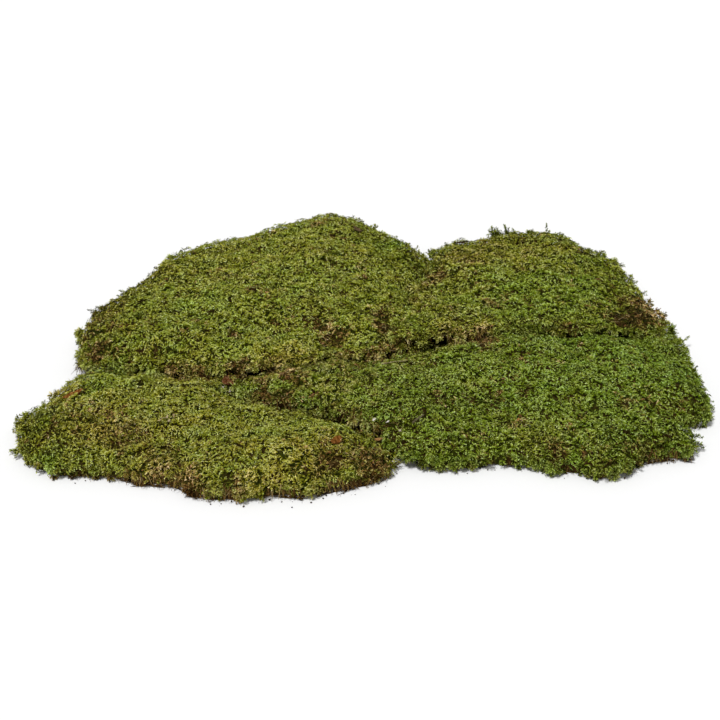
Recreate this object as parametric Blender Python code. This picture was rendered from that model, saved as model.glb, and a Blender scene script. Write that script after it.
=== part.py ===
"""A clump of sheet moss, about 0.6 m across.

Four loose mats of carpet moss lie flat on the ground. Each mat lies over the edges of the ones before it,
and a few bits of leaf litter lie on top. X runs to the right, Y to the back and Z up from the ground.
"""

import math
from dataclasses import dataclass

import bmesh
import bpy
import numpy as np
from mathutils import Vector, noise
from mathutils.bvhtree import BVHTree
from mathutils.geometry import delaunay_2d_cdt

# Driving dimensions, in metres
POINT_SPACING = 0.0105  # between the points on a mat's surface
EDGE_SPACING = 0.0095  # between the points along a mat's edge
EDGE_CLEARANCE = 0.0085  # from the edge to the first point inside it
SHOULDER = 0.003  # how far the top and bottom rings of an edge lie inside its outermost ring
EDGE_RAG = 0.0042  # how far the tufts along an edge stand out or in
EDGE_RAG_SIZE = 0.019  # length of one of those tufts
EDGE_WANDER = 0.0018  # slower wander of the edge
EDGE_WANDER_SIZE = 0.060
CURVE_STEPS = 12  # of the smooth curve between two corners of an edge
RIM_HEIGHT = 0.0125  # thickness of a mat at its edge
LAP_RIM_HEIGHT = 0.0070  # the same where it lies over another mat
RIM_WIDEST = 0.45  # share of that height at which the edge stands out furthest
ROLL = 0.020  # distance from the edge over which a mat reaches most of its thickness
LAP_ROLL = 0.034  # the same where it lies over another mat
LUMPS = ((0.105, 0.0040), (0.048, 0.0026), (0.024, 0.0016))  # size and height of the lumps on top
LUMPS_START = -0.006  # distance inside the edge where they begin to rise
LUMPS_FULL = 0.034  # distance inside it where they have all their height
PRESSED = 0.36  # share of its thickness that a mat keeps under the next mat
PRESSED_LUMPS = 0.25  # share of its lumps that a mat keeps there
MAT_GAP = 0.0010  # air between a mat and the one on top of it
LEAN = 0.034  # distance past a lower mat's edge where the mat on top of it reaches the ground
LEAN_START = 0.006  # distance past that edge where it begins to come down
PRESS_REACH = 0.030  # how far in front of the next mat's edge a mat begins to be pressed down
PRESS_FULL = 0.006  # how far behind that edge it is pressed down all the way
JITTER = 0.0016  # of the points on top, so that they don't stand in rows
JITTER_SIZE = 0.0074
RASTER_STEP = 0.003  # between the samples of the height maps
RASTER_MARGIN = 0.05
DILATE_STEPS = 3  # of the height map, to keep the underside of a mat clear of the lumps below
LITTER_CLEARANCE = 0.0005  # between a bit of litter and the moss under it
FLAT = 1e-7
FLAT_ANGLE = 0.0001
MOSS_ROUGHNESS = 0.9
LITTER_ROUGHNESS = 0.8

# Layers of the noise: each use reads layers of its own, so that no two shapes are alike
WANDER_LAYER = 0.0
RAG_LAYER = 20.0
EDGE_LAYERS = 3.0  # from one mat to the next
LUMP_LAYER = 40.0
LUMP_LAYERS = 7.0  # from one mat to the next
JITTER_LAYERS = (60.0, 80.0)


@dataclass(frozen=True)
class Mat:
    """One mat: its edge is a smooth closed curve through the corners, which run anticlockwise."""

    name: str
    colour: tuple
    thickness: float
    corners: tuple
    swells: tuple  # each one (x, y, radius, height), with a negative height for a pit


@dataclass(frozen=True)
class Bit:
    """One bit of litter, with the place and heading of its middle."""

    name: str
    kind: str
    colour: tuple
    place: tuple
    heading: float
    length: float
    width: float
    curl: float


MATS = (
    Mat(
        name="mat_front_left",
        colour=(0.124, 0.130, 0.022),
        thickness=0.0240,
        corners=(
            (-0.303, -0.166), (-0.289, -0.207), (-0.256, -0.229), (-0.216, -0.233), (-0.160, -0.246),
            (-0.104, -0.262), (-0.044, -0.250), (-0.002, -0.237), (0.020, -0.212), (0.014, -0.160),
            (-0.040, -0.092), (-0.100, -0.048), (-0.190, -0.044), (-0.250, -0.050), (-0.272, -0.092),
            (-0.288, -0.134),
        ),
        swells=(
            (-0.100, -0.240, 0.030, 0.004),
            (-0.010, -0.215, 0.030, -0.005),
            (-0.190, -0.150, 0.070, 0.004),
        ),
    ),
    Mat(
        name="mat_front_right",
        colour=(0.108, 0.128, 0.018),
        thickness=0.0255,
        corners=(
            (-0.122, -0.100), (-0.114, -0.128), (-0.064, -0.142), (-0.024, -0.164), (0.006, -0.184),
            (0.014, -0.212), (0.052, -0.222), (0.102, -0.216), (0.150, -0.226), (0.198, -0.231),
            (0.224, -0.212), (0.262, -0.203), (0.272, -0.186), (0.263, -0.165), (0.291, -0.147),
            (0.300, -0.112), (0.295, -0.074), (0.299, -0.036), (0.297, 0.000), (0.264, 0.016),
            (0.160, 0.020), (0.060, 0.014), (0.000, -0.016), (-0.060, -0.044),
        ),
        swells=(
            (0.180, -0.110, 0.090, 0.004),
            (0.105, -0.150, 0.024, -0.005),
            (-0.050, -0.115, 0.030, 0.003),
            (0.278, -0.140, 0.026, 0.004),
            (0.020, -0.165, 0.024, 0.004),
            (0.026, -0.198, 0.012, -0.004),
        ),
    ),
    Mat(
        name="mat_back_left",
        colour=(0.127, 0.138, 0.024),
        thickness=0.0285,
        corners=(
            (-0.270, -0.066), (-0.247, -0.077), (-0.186, -0.083), (-0.122, -0.091), (-0.076, -0.085),
            (-0.040, -0.062), (0.020, -0.048), (0.052, -0.030), (0.070, 0.026), (0.082, 0.080),
            (0.086, 0.140), (0.062, 0.182), (0.036, 0.204), (0.012, 0.236), (-0.014, 0.268),
            (-0.038, 0.279), (-0.082, 0.264), (-0.126, 0.232), (-0.170, 0.208), (-0.212, 0.178),
            (-0.233, 0.146), (-0.246, 0.102), (-0.264, 0.062), (-0.284, 0.034), (-0.281, -0.026),
        ),
        swells=(
            (-0.060, 0.170, 0.100, 0.008),
            (-0.037, -0.038, 0.020, -0.011),
            (-0.130, -0.036, 0.016, -0.005),
            (-0.160, 0.030, 0.080, 0.004),
            (0.046, 0.150, 0.024, 0.004),
        ),
    ),
    Mat(
        name="mat_back_right",
        colour=(0.116, 0.130, 0.022),
        thickness=0.0250,
        corners=(
            (0.064, 0.130), (0.052, 0.082), (0.054, 0.044), (0.036, 0.010), (0.020, -0.030),
            (0.030, -0.046), (0.066, -0.028), (0.124, -0.016), (0.182, -0.019), (0.240, -0.014),
            (0.284, -0.008), (0.292, 0.036), (0.282, 0.084), (0.274, 0.150), (0.258, 0.180),
            (0.224, 0.228), (0.196, 0.238), (0.152, 0.234), (0.126, 0.214), (0.088, 0.211),
            (0.072, 0.182),
        ),
        swells=(
            (0.170, 0.130, 0.090, 0.004),
            (0.066, 0.068, 0.020, -0.008),
            (0.274, 0.012, 0.022, 0.005),
        ),
    ),
)

BITS = (
    Bit("leaf_flake_left", "flake", (0.330, 0.085, 0.020), (-0.262, -0.138), 20.0, 0.0170, 0.0090, 0.0010),
    Bit("leaf_curled", "flake", (0.250, 0.070, 0.040), (-0.131, -0.104), 100.0, 0.0180, 0.0100, 0.0046),
    Bit("leaf_flake_middle", "flake", (0.340, 0.075, 0.025), (-0.031, -0.212), 55.0, 0.0130, 0.0066, 0.0012),
    Bit("leaf_crumb", "flake", (0.400, 0.160, 0.050), (0.005, -0.192), 150.0, 0.0100, 0.0076, 0.0016),
    Bit("twig_pale", "twig", (0.300, 0.230, 0.110), (0.020, -0.082), 12.0, 0.0240, 0.0014, 0.0010),
    Bit("twig_grey", "twig", (0.200, 0.190, 0.170), (0.037, -0.181), 40.0, 0.0130, 0.0018, 0.0006),
    Bit("bark_strip", "flake", (0.060, 0.035, 0.024), (0.104, 0.195), 8.0, 0.0150, 0.0050, 0.0010),
    Bit("bark_chip", "flake", (0.150, 0.090, 0.045), (-0.014, 0.196), 130.0, 0.0150, 0.0060, 0.0014),
)
TWIG_SIDES = 6
TWIG_SEGMENTS = 5
TWIG_TAPER = 0.35  # share of its thickness that a twig loses towards its far end
FLAKE_SEGMENTS = 6
FLAKE_THICKNESS = 0.0007
FLAKE_ROUNDNESS = 0.6  # power of the sine that gives a flake its outline
FLAKE_END = 0.18  # width of its ends, as a share of its middle
FLAKE_CUP = 0.3  # rise of its sides, as a share of its curl
FOOT_SAMPLES = 7  # of the moss under a bit of litter, each way
FOOT_LENGTH = 1.05  # of the area sampled, as a share of the bit
FOOT_BREADTH = 1.2
LEAST_BREADTH = 0.002  # over which the slope of the moss is read


def clear_scene():
    for thing in list(bpy.data.objects):
        bpy.data.objects.remove(thing, do_unlink=True)


def smoothstep(low, high, value):
    share = np.clip((value - low) / (high - low), 0.0, 1.0)
    return share * share * (3.0 - 2.0 * share)


def noise_at(x, y, size, layer):
    """Smooth noise from about -1 to 1, with lumps of the given size, for arrays of points."""
    flat = zip(np.ravel(x) / size, np.ravel(y) / size)
    values = [noise.noise(Vector((u, v, layer))) for u, v in flat]
    return 2.0 * np.array(values).reshape(np.shape(x))


def closed_curve(corners, spacing):
    """Points at an even spacing along the smooth closed curve through the corners."""
    knots = np.array(corners)
    before, after, far = np.roll(knots, 1, axis=0), np.roll(knots, -1, axis=0), np.roll(knots, -2, axis=0)
    dense = []
    for share in np.linspace(0.0, 1.0, CURVE_STEPS, endpoint=False):
        square, cube = share**2, share**3
        dense.append(
            0.5 * (2.0 * knots + (after - before) * share
                   + (2.0 * before - 5.0 * knots + 4.0 * after - far) * square
                   + (3.0 * knots - before - 3.0 * after + far) * cube)
        )
    path = np.stack(dense, axis=1).reshape(-1, 2)
    path = np.vstack([path, path[:1]])
    travelled = np.concatenate([[0.0], np.cumsum(np.linalg.norm(np.diff(path, axis=0), axis=1))])
    count = round(travelled[-1] / spacing)
    stations = np.linspace(0.0, travelled[-1], count, endpoint=False)
    return np.column_stack([np.interp(stations, travelled, path[:, axis]) for axis in (0, 1)])


def outward_normals(loop):
    """The outward direction at each point of an anticlockwise loop."""
    along = np.roll(loop, -1, axis=0) - np.roll(loop, 1, axis=0)
    normals = np.column_stack([along[:, 1], -along[:, 0]])
    return normals / np.linalg.norm(normals, axis=1, keepdims=True)


def ragged_edge(index, mat):
    """The mat's edge, with its tufts."""
    loop = closed_curve(mat.corners, EDGE_SPACING)
    x, y = loop[:, 0], loop[:, 1]
    layer = EDGE_LAYERS * index
    wander = EDGE_WANDER * noise_at(x, y, EDGE_WANDER_SIZE, WANDER_LAYER + layer)
    rag = EDGE_RAG * noise_at(x, y, EDGE_RAG_SIZE, RAG_LAYER + layer)
    return loop + outward_normals(loop) * (wander + rag)[:, None]


def distance_inside(x, y, loop):
    """Distance from the edge for arrays of points, positive inside it."""
    best = np.full(np.shape(x), np.inf)
    inside = np.zeros(np.shape(x), dtype=bool)
    for (ax, ay), (bx, by) in zip(loop, np.roll(loop, -1, axis=0)):
        run, rise = bx - ax, by - ay
        share = np.clip(((x - ax) * run + (y - ay) * rise) / (run * run + rise * rise), 0.0, 1.0)
        best = np.minimum(best, np.hypot(x - ax - share * run, y - ay - share * rise))
        crosses = (ay > y) != (by > y)
        inside ^= crosses & (x < ax + run * (y - ay) / (rise if rise else FLAT))
    return np.where(inside, best, -best)


class HeightMaps:
    """The top and the underside of every mat, on one raster of samples."""

    def __init__(self, edges):
        points = np.vstack(edges)
        low, high = points.min(axis=0) - RASTER_MARGIN, points.max(axis=0) + RASTER_MARGIN
        self.low = low
        self.columns = np.arange(low[0], high[0], RASTER_STEP)
        self.rows = np.arange(low[1], high[1], RASTER_STEP)
        self.x, self.y = np.meshgrid(self.columns, self.rows)
        self.inside = [distance_inside(self.x, self.y, edge) for edge in edges]
        self.tops = []
        self.undersides = []
        for index, mat in enumerate(MATS):
            self.undersides.append(self.underside(index))
            self.tops.append(self.undersides[index] + self.thickness(index, mat))

    def underside(self, index):
        """Flat on the ground, and lifted where a lower mat lies below."""
        height = np.zeros(self.x.shape)
        for lower in range(index):
            lifted = smoothstep(-LEAN, -LEAN_START, self.inside[lower])
            height = np.maximum(height, lifted * (dilated(self.tops[lower]) + MAT_GAP))
        return height

    def thickness(self, index, mat):
        """Grows from the edge inwards, with lumps, and less where another mat lies over or under it."""
        inside = self.inside[index]
        covered = np.zeros(self.x.shape)
        for upper in self.inside[index + 1:]:
            covered = np.maximum(covered, smoothstep(-PRESS_REACH, PRESS_FULL, upper))
        lapping = np.zeros(self.x.shape)
        for lower in self.inside[:index]:
            lapping = np.maximum(lapping, smoothstep(-LEAN, 0.0, lower))
        rim = RIM_HEIGHT + (LAP_RIM_HEIGHT - RIM_HEIGHT) * lapping
        roll = ROLL + (LAP_ROLL - ROLL) * lapping
        body = rim + (mat.thickness - rim) * (1.0 - np.exp(-np.maximum(inside, 0.0) / roll))
        lumps = sum(
            height * noise_at(self.x, self.y, size, LUMP_LAYER + LUMP_LAYERS * index + layer)
            for layer, (size, height) in enumerate(LUMPS)
        )
        for x, y, radius, height in mat.swells:
            lumps = lumps + height * np.exp(-((self.x - x) ** 2 + (self.y - y) ** 2) / radius**2)
        lumps = lumps * smoothstep(LUMPS_START, LUMPS_FULL, inside)
        body = body * (1.0 - (1.0 - PRESSED) * covered)
        return body + lumps * (1.0 - (1.0 - PRESSED_LUMPS) * covered)

    def sample(self, heights, points):
        """The height at each point, between the nearest four samples."""
        column = (points[:, 0] - self.low[0]) / RASTER_STEP
        row = (points[:, 1] - self.low[1]) / RASTER_STEP
        left, front = np.floor(column).astype(int), np.floor(row).astype(int)
        right_share, back_share = column - left, row - front
        near = heights[front, left] * (1.0 - right_share) + heights[front, left + 1] * right_share
        far = heights[front + 1, left] * (1.0 - right_share) + heights[front + 1, left + 1] * right_share
        return near * (1.0 - back_share) + far * back_share


def dilated(heights):
    """The highest sample within a few steps of each one."""
    highest = heights
    for down in range(-DILATE_STEPS, DILATE_STEPS + 1):
        for across in range(-DILATE_STEPS, DILATE_STEPS + 1):
            if math.hypot(down, across) <= DILATE_STEPS:
                highest = np.maximum(highest, np.roll(heights, (down, across), axis=(0, 1)))
    return highest


def surface_points(index, edge):
    """Points spread evenly over the inside of the edge, in staggered rows with a little jitter."""
    low, high = edge.min(axis=0), edge.max(axis=0)
    points = []
    for row, y in enumerate(np.arange(low[1], high[1], POINT_SPACING * math.sqrt(3.0) / 2.0)):
        start = low[0] + 0.5 * POINT_SPACING * (row % 2)
        points += [(x, y) for x in np.arange(start, high[0], POINT_SPACING)]
    points = np.array(points)
    x, y = points[:, 0], points[:, 1]
    shift = [JITTER * noise_at(x, y, JITTER_SIZE, layer + index) for layer in JITTER_LAYERS]
    points = points + np.column_stack(shift)
    return points[distance_inside(points[:, 0], points[:, 1], edge) > EDGE_CLEARANCE]


def mat_mesh(index, edge, maps):
    """A closed mesh: the top, the underside, and an edge that stands out between them."""
    plan = np.vstack([edge, surface_points(index, edge)])
    ring = len(edge)
    rim_edges = [(corner, (corner + 1) % ring) for corner in range(ring)]
    filled = delaunay_2d_cdt([Vector(point) for point in plan], rim_edges, [], 1, FLAT)
    triangles = [[filled[3][corner][0] for corner in face] for face in filled[2]]

    tucked = plan.copy()
    tucked[:ring] = edge - outward_normals(edge) * SHOULDER
    top = maps.sample(maps.tops[index], tucked)
    bottom = maps.sample(maps.undersides[index], tucked)
    widest = bottom[:ring] + RIM_WIDEST * (top[:ring] - bottom[:ring])

    mesh = bmesh.new()
    top_points = [mesh.verts.new((*place, height)) for place, height in zip(tucked, top)]
    bottom_points = [mesh.verts.new((*place, height)) for place, height in zip(tucked, bottom)]
    widest_points = [mesh.verts.new((*place, height)) for place, height in zip(edge, widest)]
    for triangle in triangles:
        mesh.faces.new([top_points[corner] for corner in triangle])
        mesh.faces.new([bottom_points[corner] for corner in reversed(triangle)])
    for corner, following in rim_edges:
        mesh.faces.new([bottom_points[corner], bottom_points[following],
                        widest_points[following], widest_points[corner]])
        mesh.faces.new([widest_points[corner], widest_points[following],
                        top_points[following], top_points[corner]])
    flatten_ground_face(mesh)
    bmesh.ops.recalc_face_normals(mesh, faces=mesh.faces)
    return mesh


def flatten_ground_face(mesh):
    """Merges the triangles that lie on the ground, which need no points between them."""
    resting = [face for face in mesh.faces if all(abs(corner.co.z) < FLAT for corner in face.verts)]
    edges = {edge for face in resting for edge in face.edges}
    verts = {corner for face in resting for corner in face.verts}
    bmesh.ops.dissolve_limit(mesh, angle_limit=FLAT_ANGLE, verts=list(verts), edges=list(edges))
    bmesh.ops.triangulate(mesh, faces=mesh.faces)


def flake_mesh(bit):
    """A pointed blade, curled along its length and cupped across it."""
    mesh = bmesh.new()
    rows = []
    for step in range(FLAKE_SEGMENTS + 1):
        share = step / FLAKE_SEGMENTS
        half = 0.5 * bit.width * max(math.sin(math.pi * share) ** FLAKE_ROUNDNESS, FLAKE_END)
        x = bit.length * (share - 0.5)
        lift = bit.curl * (2.0 * share - 1.0) ** 2
        row = []
        for side in (-1.0, 0.0, 1.0):
            cup = FLAKE_CUP * bit.curl * side * side
            row.append([mesh.verts.new((x, side * half, lift + cup + level))
                        for level in (0.0, FLAKE_THICKNESS)])
        rows.append(row)
    for row, following in zip(rows, rows[1:]):
        for side in (0, 1):
            for level in (0, 1):
                mesh.faces.new([row[side][level], row[side + 1][level],
                                following[side + 1][level], following[side][level]])
        for side in (0, 2):
            mesh.faces.new([row[side][0], row[side][1], following[side][1], following[side][0]])
    for row in (rows[0], rows[-1]):
        for side in (0, 1):
            mesh.faces.new([row[side][0], row[side][1], row[side + 1][1], row[side + 1][0]])
    bmesh.ops.triangulate(mesh, faces=mesh.faces)
    bmesh.ops.recalc_face_normals(mesh, faces=mesh.faces)
    return mesh


def twig_mesh(bit):
    """A bent stick that tapers a little to one end."""
    mesh = bmesh.new()
    rings = []
    for step in range(TWIG_SEGMENTS + 1):
        share = step / TWIG_SEGMENTS
        radius = 0.5 * bit.width * (1.0 - TWIG_TAPER * share)
        x = bit.length * (share - 0.5)
        bend = bit.curl * math.sin(math.pi * share)
        turns = [2.0 * math.pi * side / TWIG_SIDES for side in range(TWIG_SIDES)]
        rings.append([
            mesh.verts.new((x, bend + radius * math.cos(turn), radius * math.sin(turn))) for turn in turns
        ])
    for ring, following in zip(rings, rings[1:]):
        for side in range(TWIG_SIDES):
            beside = (side + 1) % TWIG_SIDES
            mesh.faces.new([ring[side], ring[beside], following[beside], following[side]])
    for end in (rings[0], rings[-1]):
        mesh.faces.new(end)
    bmesh.ops.triangulate(mesh, faces=mesh.faces)
    bmesh.ops.recalc_face_normals(mesh, faces=mesh.faces)
    return mesh


def moss_height(trees, x, y):
    """The top of the highest mat at one place."""
    above = Vector((x, y, 1.0))
    hits = [tree.ray_cast(above, Vector((0.0, 0.0, -1.0)))[0] for tree in trees]
    return max(hit.z for hit in hits if hit)


def lay_down(mesh, bit, trees):
    """Turns a bit of litter, leans it with the moss under it and lowers it until it nearly touches."""
    heading = math.radians(bit.heading)
    along = Vector((math.cos(heading), math.sin(heading), 0.0))
    across = Vector((-math.sin(heading), math.cos(heading), 0.0))
    centre = Vector((*bit.place, 0.0))
    reach, breadth = 0.5 * bit.length, max(0.5 * bit.width, LEAST_BREADTH)

    def height(u, v):
        place = centre + along * u + across * v
        return moss_height(trees, place.x, place.y)

    rise_along = (height(reach, 0.0) - height(-reach, 0.0)) / (2.0 * reach)
    rise_across = (height(0.0, breadth) - height(0.0, -breadth)) / (2.0 * breadth)
    for corner in mesh.verts:
        u, v, w = corner.co
        corner.co = centre + along * u + across * v
        corner.co.z = w + rise_along * u + rise_across * v
    tree = BVHTree.FromBMesh(mesh)
    lifts = [moss_height(trees, corner.co.x, corner.co.y) - corner.co.z for corner in mesh.verts]
    for u in np.linspace(-FOOT_LENGTH * reach, FOOT_LENGTH * reach, FOOT_SAMPLES):
        for v in np.linspace(-FOOT_BREADTH * breadth, FOOT_BREADTH * breadth, FOOT_SAMPLES):
            place = centre + along * float(u) + across * float(v)
            hit = tree.ray_cast(Vector((place.x, place.y, -1.0)), Vector((0.0, 0.0, 1.0)))[0]
            if hit:
                lifts.append(moss_height(trees, place.x, place.y) - hit.z)
    bmesh.ops.translate(mesh, verts=mesh.verts, vec=(0.0, 0.0, max(lifts) + LITTER_CLEARANCE))


def plain_material(name, colour, roughness):
    material = bpy.data.materials.new(name)
    material.use_nodes = True
    shader = material.node_tree.nodes["Principled BSDF"]
    shader.inputs["Base Color"].default_value = (*colour, 1.0)
    shader.inputs["Roughness"].default_value = roughness
    shader.inputs["Metallic"].default_value = 0.0
    return material


def add_object(name, mesh, colour, roughness, parent):
    data = bpy.data.meshes.new(name)
    mesh.to_mesh(data)
    mesh.free()
    data.materials.append(plain_material(name + "_surface", colour, roughness))
    thing = bpy.data.objects.new(name, data)
    thing.parent = parent
    bpy.context.scene.collection.objects.link(thing)
    return thing


def add_mats(parent):
    edges = [ragged_edge(index, mat) for index, mat in enumerate(MATS)]
    maps = HeightMaps(edges)
    trees = []
    for index, mat in enumerate(MATS):
        mesh = mat_mesh(index, edges[index], maps)
        trees.append(BVHTree.FromBMesh(mesh))
        add_object(mat.name, mesh, mat.colour, MOSS_ROUGHNESS, parent)
    return trees


def add_litter(parent, trees):
    makers = {"flake": flake_mesh, "twig": twig_mesh}
    for bit in BITS:
        mesh = makers[bit.kind](bit)
        lay_down(mesh, bit, trees)
        add_object(bit.name, mesh, bit.colour, LITTER_ROUGHNESS, parent)


def centre_on_origin(parent):
    """Moves the clump so that the origin is in the middle of its base."""
    corners = np.array([corner.co[:] for thing in parent.children for corner in thing.data.vertices])
    low, high = corners.min(axis=0), corners.max(axis=0)
    parent.location = (-0.5 * (low[0] + high[0]), -0.5 * (low[1] + high[1]), -low[2])


def build():
    clear_scene()
    clump = bpy.data.objects.new("moss_clump", None)
    bpy.context.scene.collection.objects.link(clump)
    trees = add_mats(clump)
    add_litter(clump, trees)
    centre_on_origin(clump)


build()
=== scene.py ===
"""Looks of a clump of carpet moss: mats of brown stems and soil under a pile of feathery green shoots."""

import math
from types import SimpleNamespace

import bmesh
import bpy
import numpy as np
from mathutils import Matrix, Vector, noise
from mathutils.bvhtree import BVHTree


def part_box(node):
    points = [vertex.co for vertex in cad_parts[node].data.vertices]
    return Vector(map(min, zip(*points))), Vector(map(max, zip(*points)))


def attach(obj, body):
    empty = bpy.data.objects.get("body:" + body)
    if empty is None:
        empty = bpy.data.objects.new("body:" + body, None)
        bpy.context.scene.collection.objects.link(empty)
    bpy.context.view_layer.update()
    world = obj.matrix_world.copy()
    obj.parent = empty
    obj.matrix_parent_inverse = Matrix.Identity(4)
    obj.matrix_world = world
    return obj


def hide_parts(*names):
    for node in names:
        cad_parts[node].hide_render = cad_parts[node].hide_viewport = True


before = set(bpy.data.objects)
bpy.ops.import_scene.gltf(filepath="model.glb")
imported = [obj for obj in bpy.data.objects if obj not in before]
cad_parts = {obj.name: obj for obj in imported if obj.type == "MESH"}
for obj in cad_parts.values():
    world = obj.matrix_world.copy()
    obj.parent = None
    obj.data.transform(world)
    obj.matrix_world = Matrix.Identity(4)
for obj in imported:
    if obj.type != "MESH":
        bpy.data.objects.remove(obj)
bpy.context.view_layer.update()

# Sizes in metres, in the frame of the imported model: X right, Y back, Z up
MATS = ("mat_front_left", "mat_front_right", "mat_back_left", "mat_back_right")
GRAIN = (0.87, 0.96, 1.05, 1.12)  # size of each mat's shoots and tufts
CONTRAST = (0.88, 1.04, 1.14, 1.36)  # between the light and dark shoots on top of each mat: it scales their painted shade and light and their random tone
RIM_BROWN = (0.80, 0.40, 0.70, 0.60)  # of the low parts of the edges of each mat
RASTER_STEP = 0.0025
BASE_DEPTH = 0.0037  # of the stems and soil under the tips of the shoots
BASE_INSET = 0.0019  # of their sides
BASE_VOXEL = 0.0050
LEAST_THICKNESS = 0.002  # of a mat, where its top and bottom meet
OFF_GROUND = 0.0002  # the lowest place of any shoot, stem or crumb
SHOOT_SPACING = 0.00170
SHOOT_LENGTH = 0.0052
SHOOT_WIDTH = 0.0017
SHOOT_PAIRS = 3  # of leafy side branches on a shoot
SHOOTS_PER_PIECE = 31000
STATIONS = np.array([0.04, 0.34, 0.64, 0.93])  # along the stem of a shoot
PAIR_WIDTHS = (0.80, 1.00, 0.70)
PAIR_SWEEP = 0.20  # how far along the stem a side branch's tip is from its foot
OWN_SHADE = 0.46  # unevenness from one corner of a shoot to the next
TUFT_SIZE = 0.0070  # of the small tufts that the shoots stand in
TUFT_DOME = 0.0018  # height of a tuft's middle above its sides
TUFT_UNEVEN = 0.0016  # between one tuft and the next
TALL_TUFTS = 0.88  # of the random numbers of the tufts: those above it stand higher
TALL_GROWTH = 0.0020
DEAD_TUFTS = 0.975  # of their other random numbers: those above it are brown in the middle
CUSHION_SIZE = 0.0125  # of the soft cushions that the tufts make
CUSHION_HEIGHT = 0.0013
FLOW_SIZE = 0.022  # of the areas in which the shoots lie one way
TOP_MARGIN = 0.0008  # between the edge and the shoots on top
KNOB_GAP = 0.0044  # between the round tufts at the edges of the mats
KNOB_SIZE = 0.0029
KNOB_SHOOTS = 12
KNOB_WIDTH = 0.0021  # of their shoots
RIM_INSET = 0.004  # how far inside the edge its floor and ceiling are read
RIM_HEIGHT = 0.016  # of an edge that has its full number of knobs
RIM_LUMPS = 0.0026  # height of the small lumps near the edges
COVER_REACH = 0.007  # how far under the next mat the shoots still grow
SEAM_REACH = 0.010  # how far in front of the next mat they grow taller
SEAM_GROWTH = 0.0032
FOLD_DEPTH = 0.0018
SHADOW_DEPTH = 0.0012  # how much lower the shoots are right in front of a crisp lap
LITTER_REACH = 0.0015  # around the bits of litter, where some shoots stand over them
LITTER_GROWTH = 0.0010
LITTER_GROWN = 0.10  # share of them
LITTER_PRESS = 0.0026  # how far the others are pressed down
SPRIG_INSET = 0.003  # how far inside the edge the fronds at the edge stand
SPRIG_SPREAD = 2  # of the fronds that stand in one place
SPRIG_SPACING = 0.009  # between the smaller ones all along the edges
SPRIG_STEM = 0.00026  # radius of their stems
BUSH_FRONDS = 8  # from so many on they make a bush
BUSH_SPREAD = 3.8
BUSH_LEAFINESS = 1.4
SPRIG_BROWN = 0.15  # of the listed ones
RIM_STEMS = 420.0  # loose stems in a metre of edge
FRINGE_STEMS = 5000.0  # hanging stems in a metre of bare edge
RIM_CRUMBS = 160.0  # soil crumbs in a metre of edge
FIBRE_SIDES = 3
FIBRE_STEPS = 3
FLECK_TRIANGLES = np.array([(0, 1, 2), (0, 2, 3), (3, 2, 4)])
FLECK_SHAPE = np.array([(-1.0, -0.1), (-0.3, -0.55), (0.25, 0.1), (-0.2, 0.6), (1.0, 0.35)])
FLECK_RISE = 0.0024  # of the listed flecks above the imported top
LITTER_SEED = 1  # without it the ripples of the litter differ from run to run
FLOOR_REACH = 60.0
UP = np.array([0.0, 0.0, 1.0])
WHITE = (1.0, 1.0, 1.0)

# The photograph's view
CAMERA_PLACE = (-0.010, -0.960, 0.528)
CAMERA_PITCH = 30.0
CAMERA_LENS = 54.9

# Each mat's green: at the root, half way and at the tip of its shoots; the near-black root colour is partly
# the old stems' own colour and partly painted shade deep among the shoots
GREENS = {
    "moss_olive": ((0.026, 0.025, 0.001), (0.210, 0.210, 0.010), (0.436, 0.458, 0.130)),
    "moss_deep_green": ((0.017, 0.023, 0.001), (0.132, 0.172, 0.006), (0.355, 0.414, 0.106)),
    "moss_yellow_green": ((0.028, 0.029, 0.001), (0.185, 0.197, 0.009), (0.434, 0.464, 0.117)),
    "moss_mid_green": ((0.022, 0.026, 0.001), (0.156, 0.179, 0.008), (0.390, 0.424, 0.105)),
}
# Dark, middle and pale colours of the litter
FINISHES = {
    "rust_leaf_finish": ((0.055, 0.018, 0.002), (0.180, 0.066, 0.010), (0.34, 0.165, 0.050)),
    "pale_leaf_finish": ((0.140, 0.060, 0.014), (0.360, 0.190, 0.065), (0.56, 0.36, 0.18)),
    "red_leaf_finish": ((0.040, 0.013, 0.004), (0.135, 0.047, 0.013), (0.38, 0.24, 0.13)),
    "pale_twig_finish": ((0.140, 0.110, 0.045), (0.360, 0.310, 0.140), (0.60, 0.54, 0.32)),
    "grey_twig_finish": ((0.035, 0.028, 0.013), (0.110, 0.094, 0.048), (0.24, 0.21, 0.12)),
    "dark_bark_finish": ((0.010, 0.005, 0.001), (0.034, 0.018, 0.006), (0.08, 0.05, 0.024)),
    "brown_bark_finish": ((0.040, 0.026, 0.012), (0.110, 0.074, 0.032), (0.20, 0.15, 0.08)),
}
# Bits of litter: (slot, finish, cuts of each edge, ripples in a metre, their height)
LITTER = {
    "leaf_flake_left": ("rust_leaf", "rust_leaf_finish", 4, 260.0, 0.0008),
    "leaf_flake_middle": ("rust_leaf", "rust_leaf_finish", 4, 300.0, 0.0008),
    "leaf_crumb": ("rust_leaf", "pale_leaf_finish", 3, 340.0, 0.0007),
    "leaf_curled": ("red_leaf", "red_leaf_finish", 4, 300.0, 0.0008),
    "twig_pale": ("pale_twig", "pale_twig_finish", 3, 220.0, 0.0006),
    "twig_grey": ("grey_twig", "grey_twig_finish", 3, 260.0, 0.0006),
    "bark_strip": ("dark_bark", "dark_bark_finish", 4, 320.0, 0.0007),
    "bark_chip": ("brown_bark", "brown_bark_finish", 4, 320.0, 0.0007),
}


# Given places, all in millimetres


def listed(groups):
    """Round areas (x, y, radius, strength) in metres, from {strength: [(x, y, radius), ...]}."""
    return [(x / 1000.0, y / 1000.0, radius / 1000.0, strength)
            for strength, areas in groups.items() for x, y, radius in areas]


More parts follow.
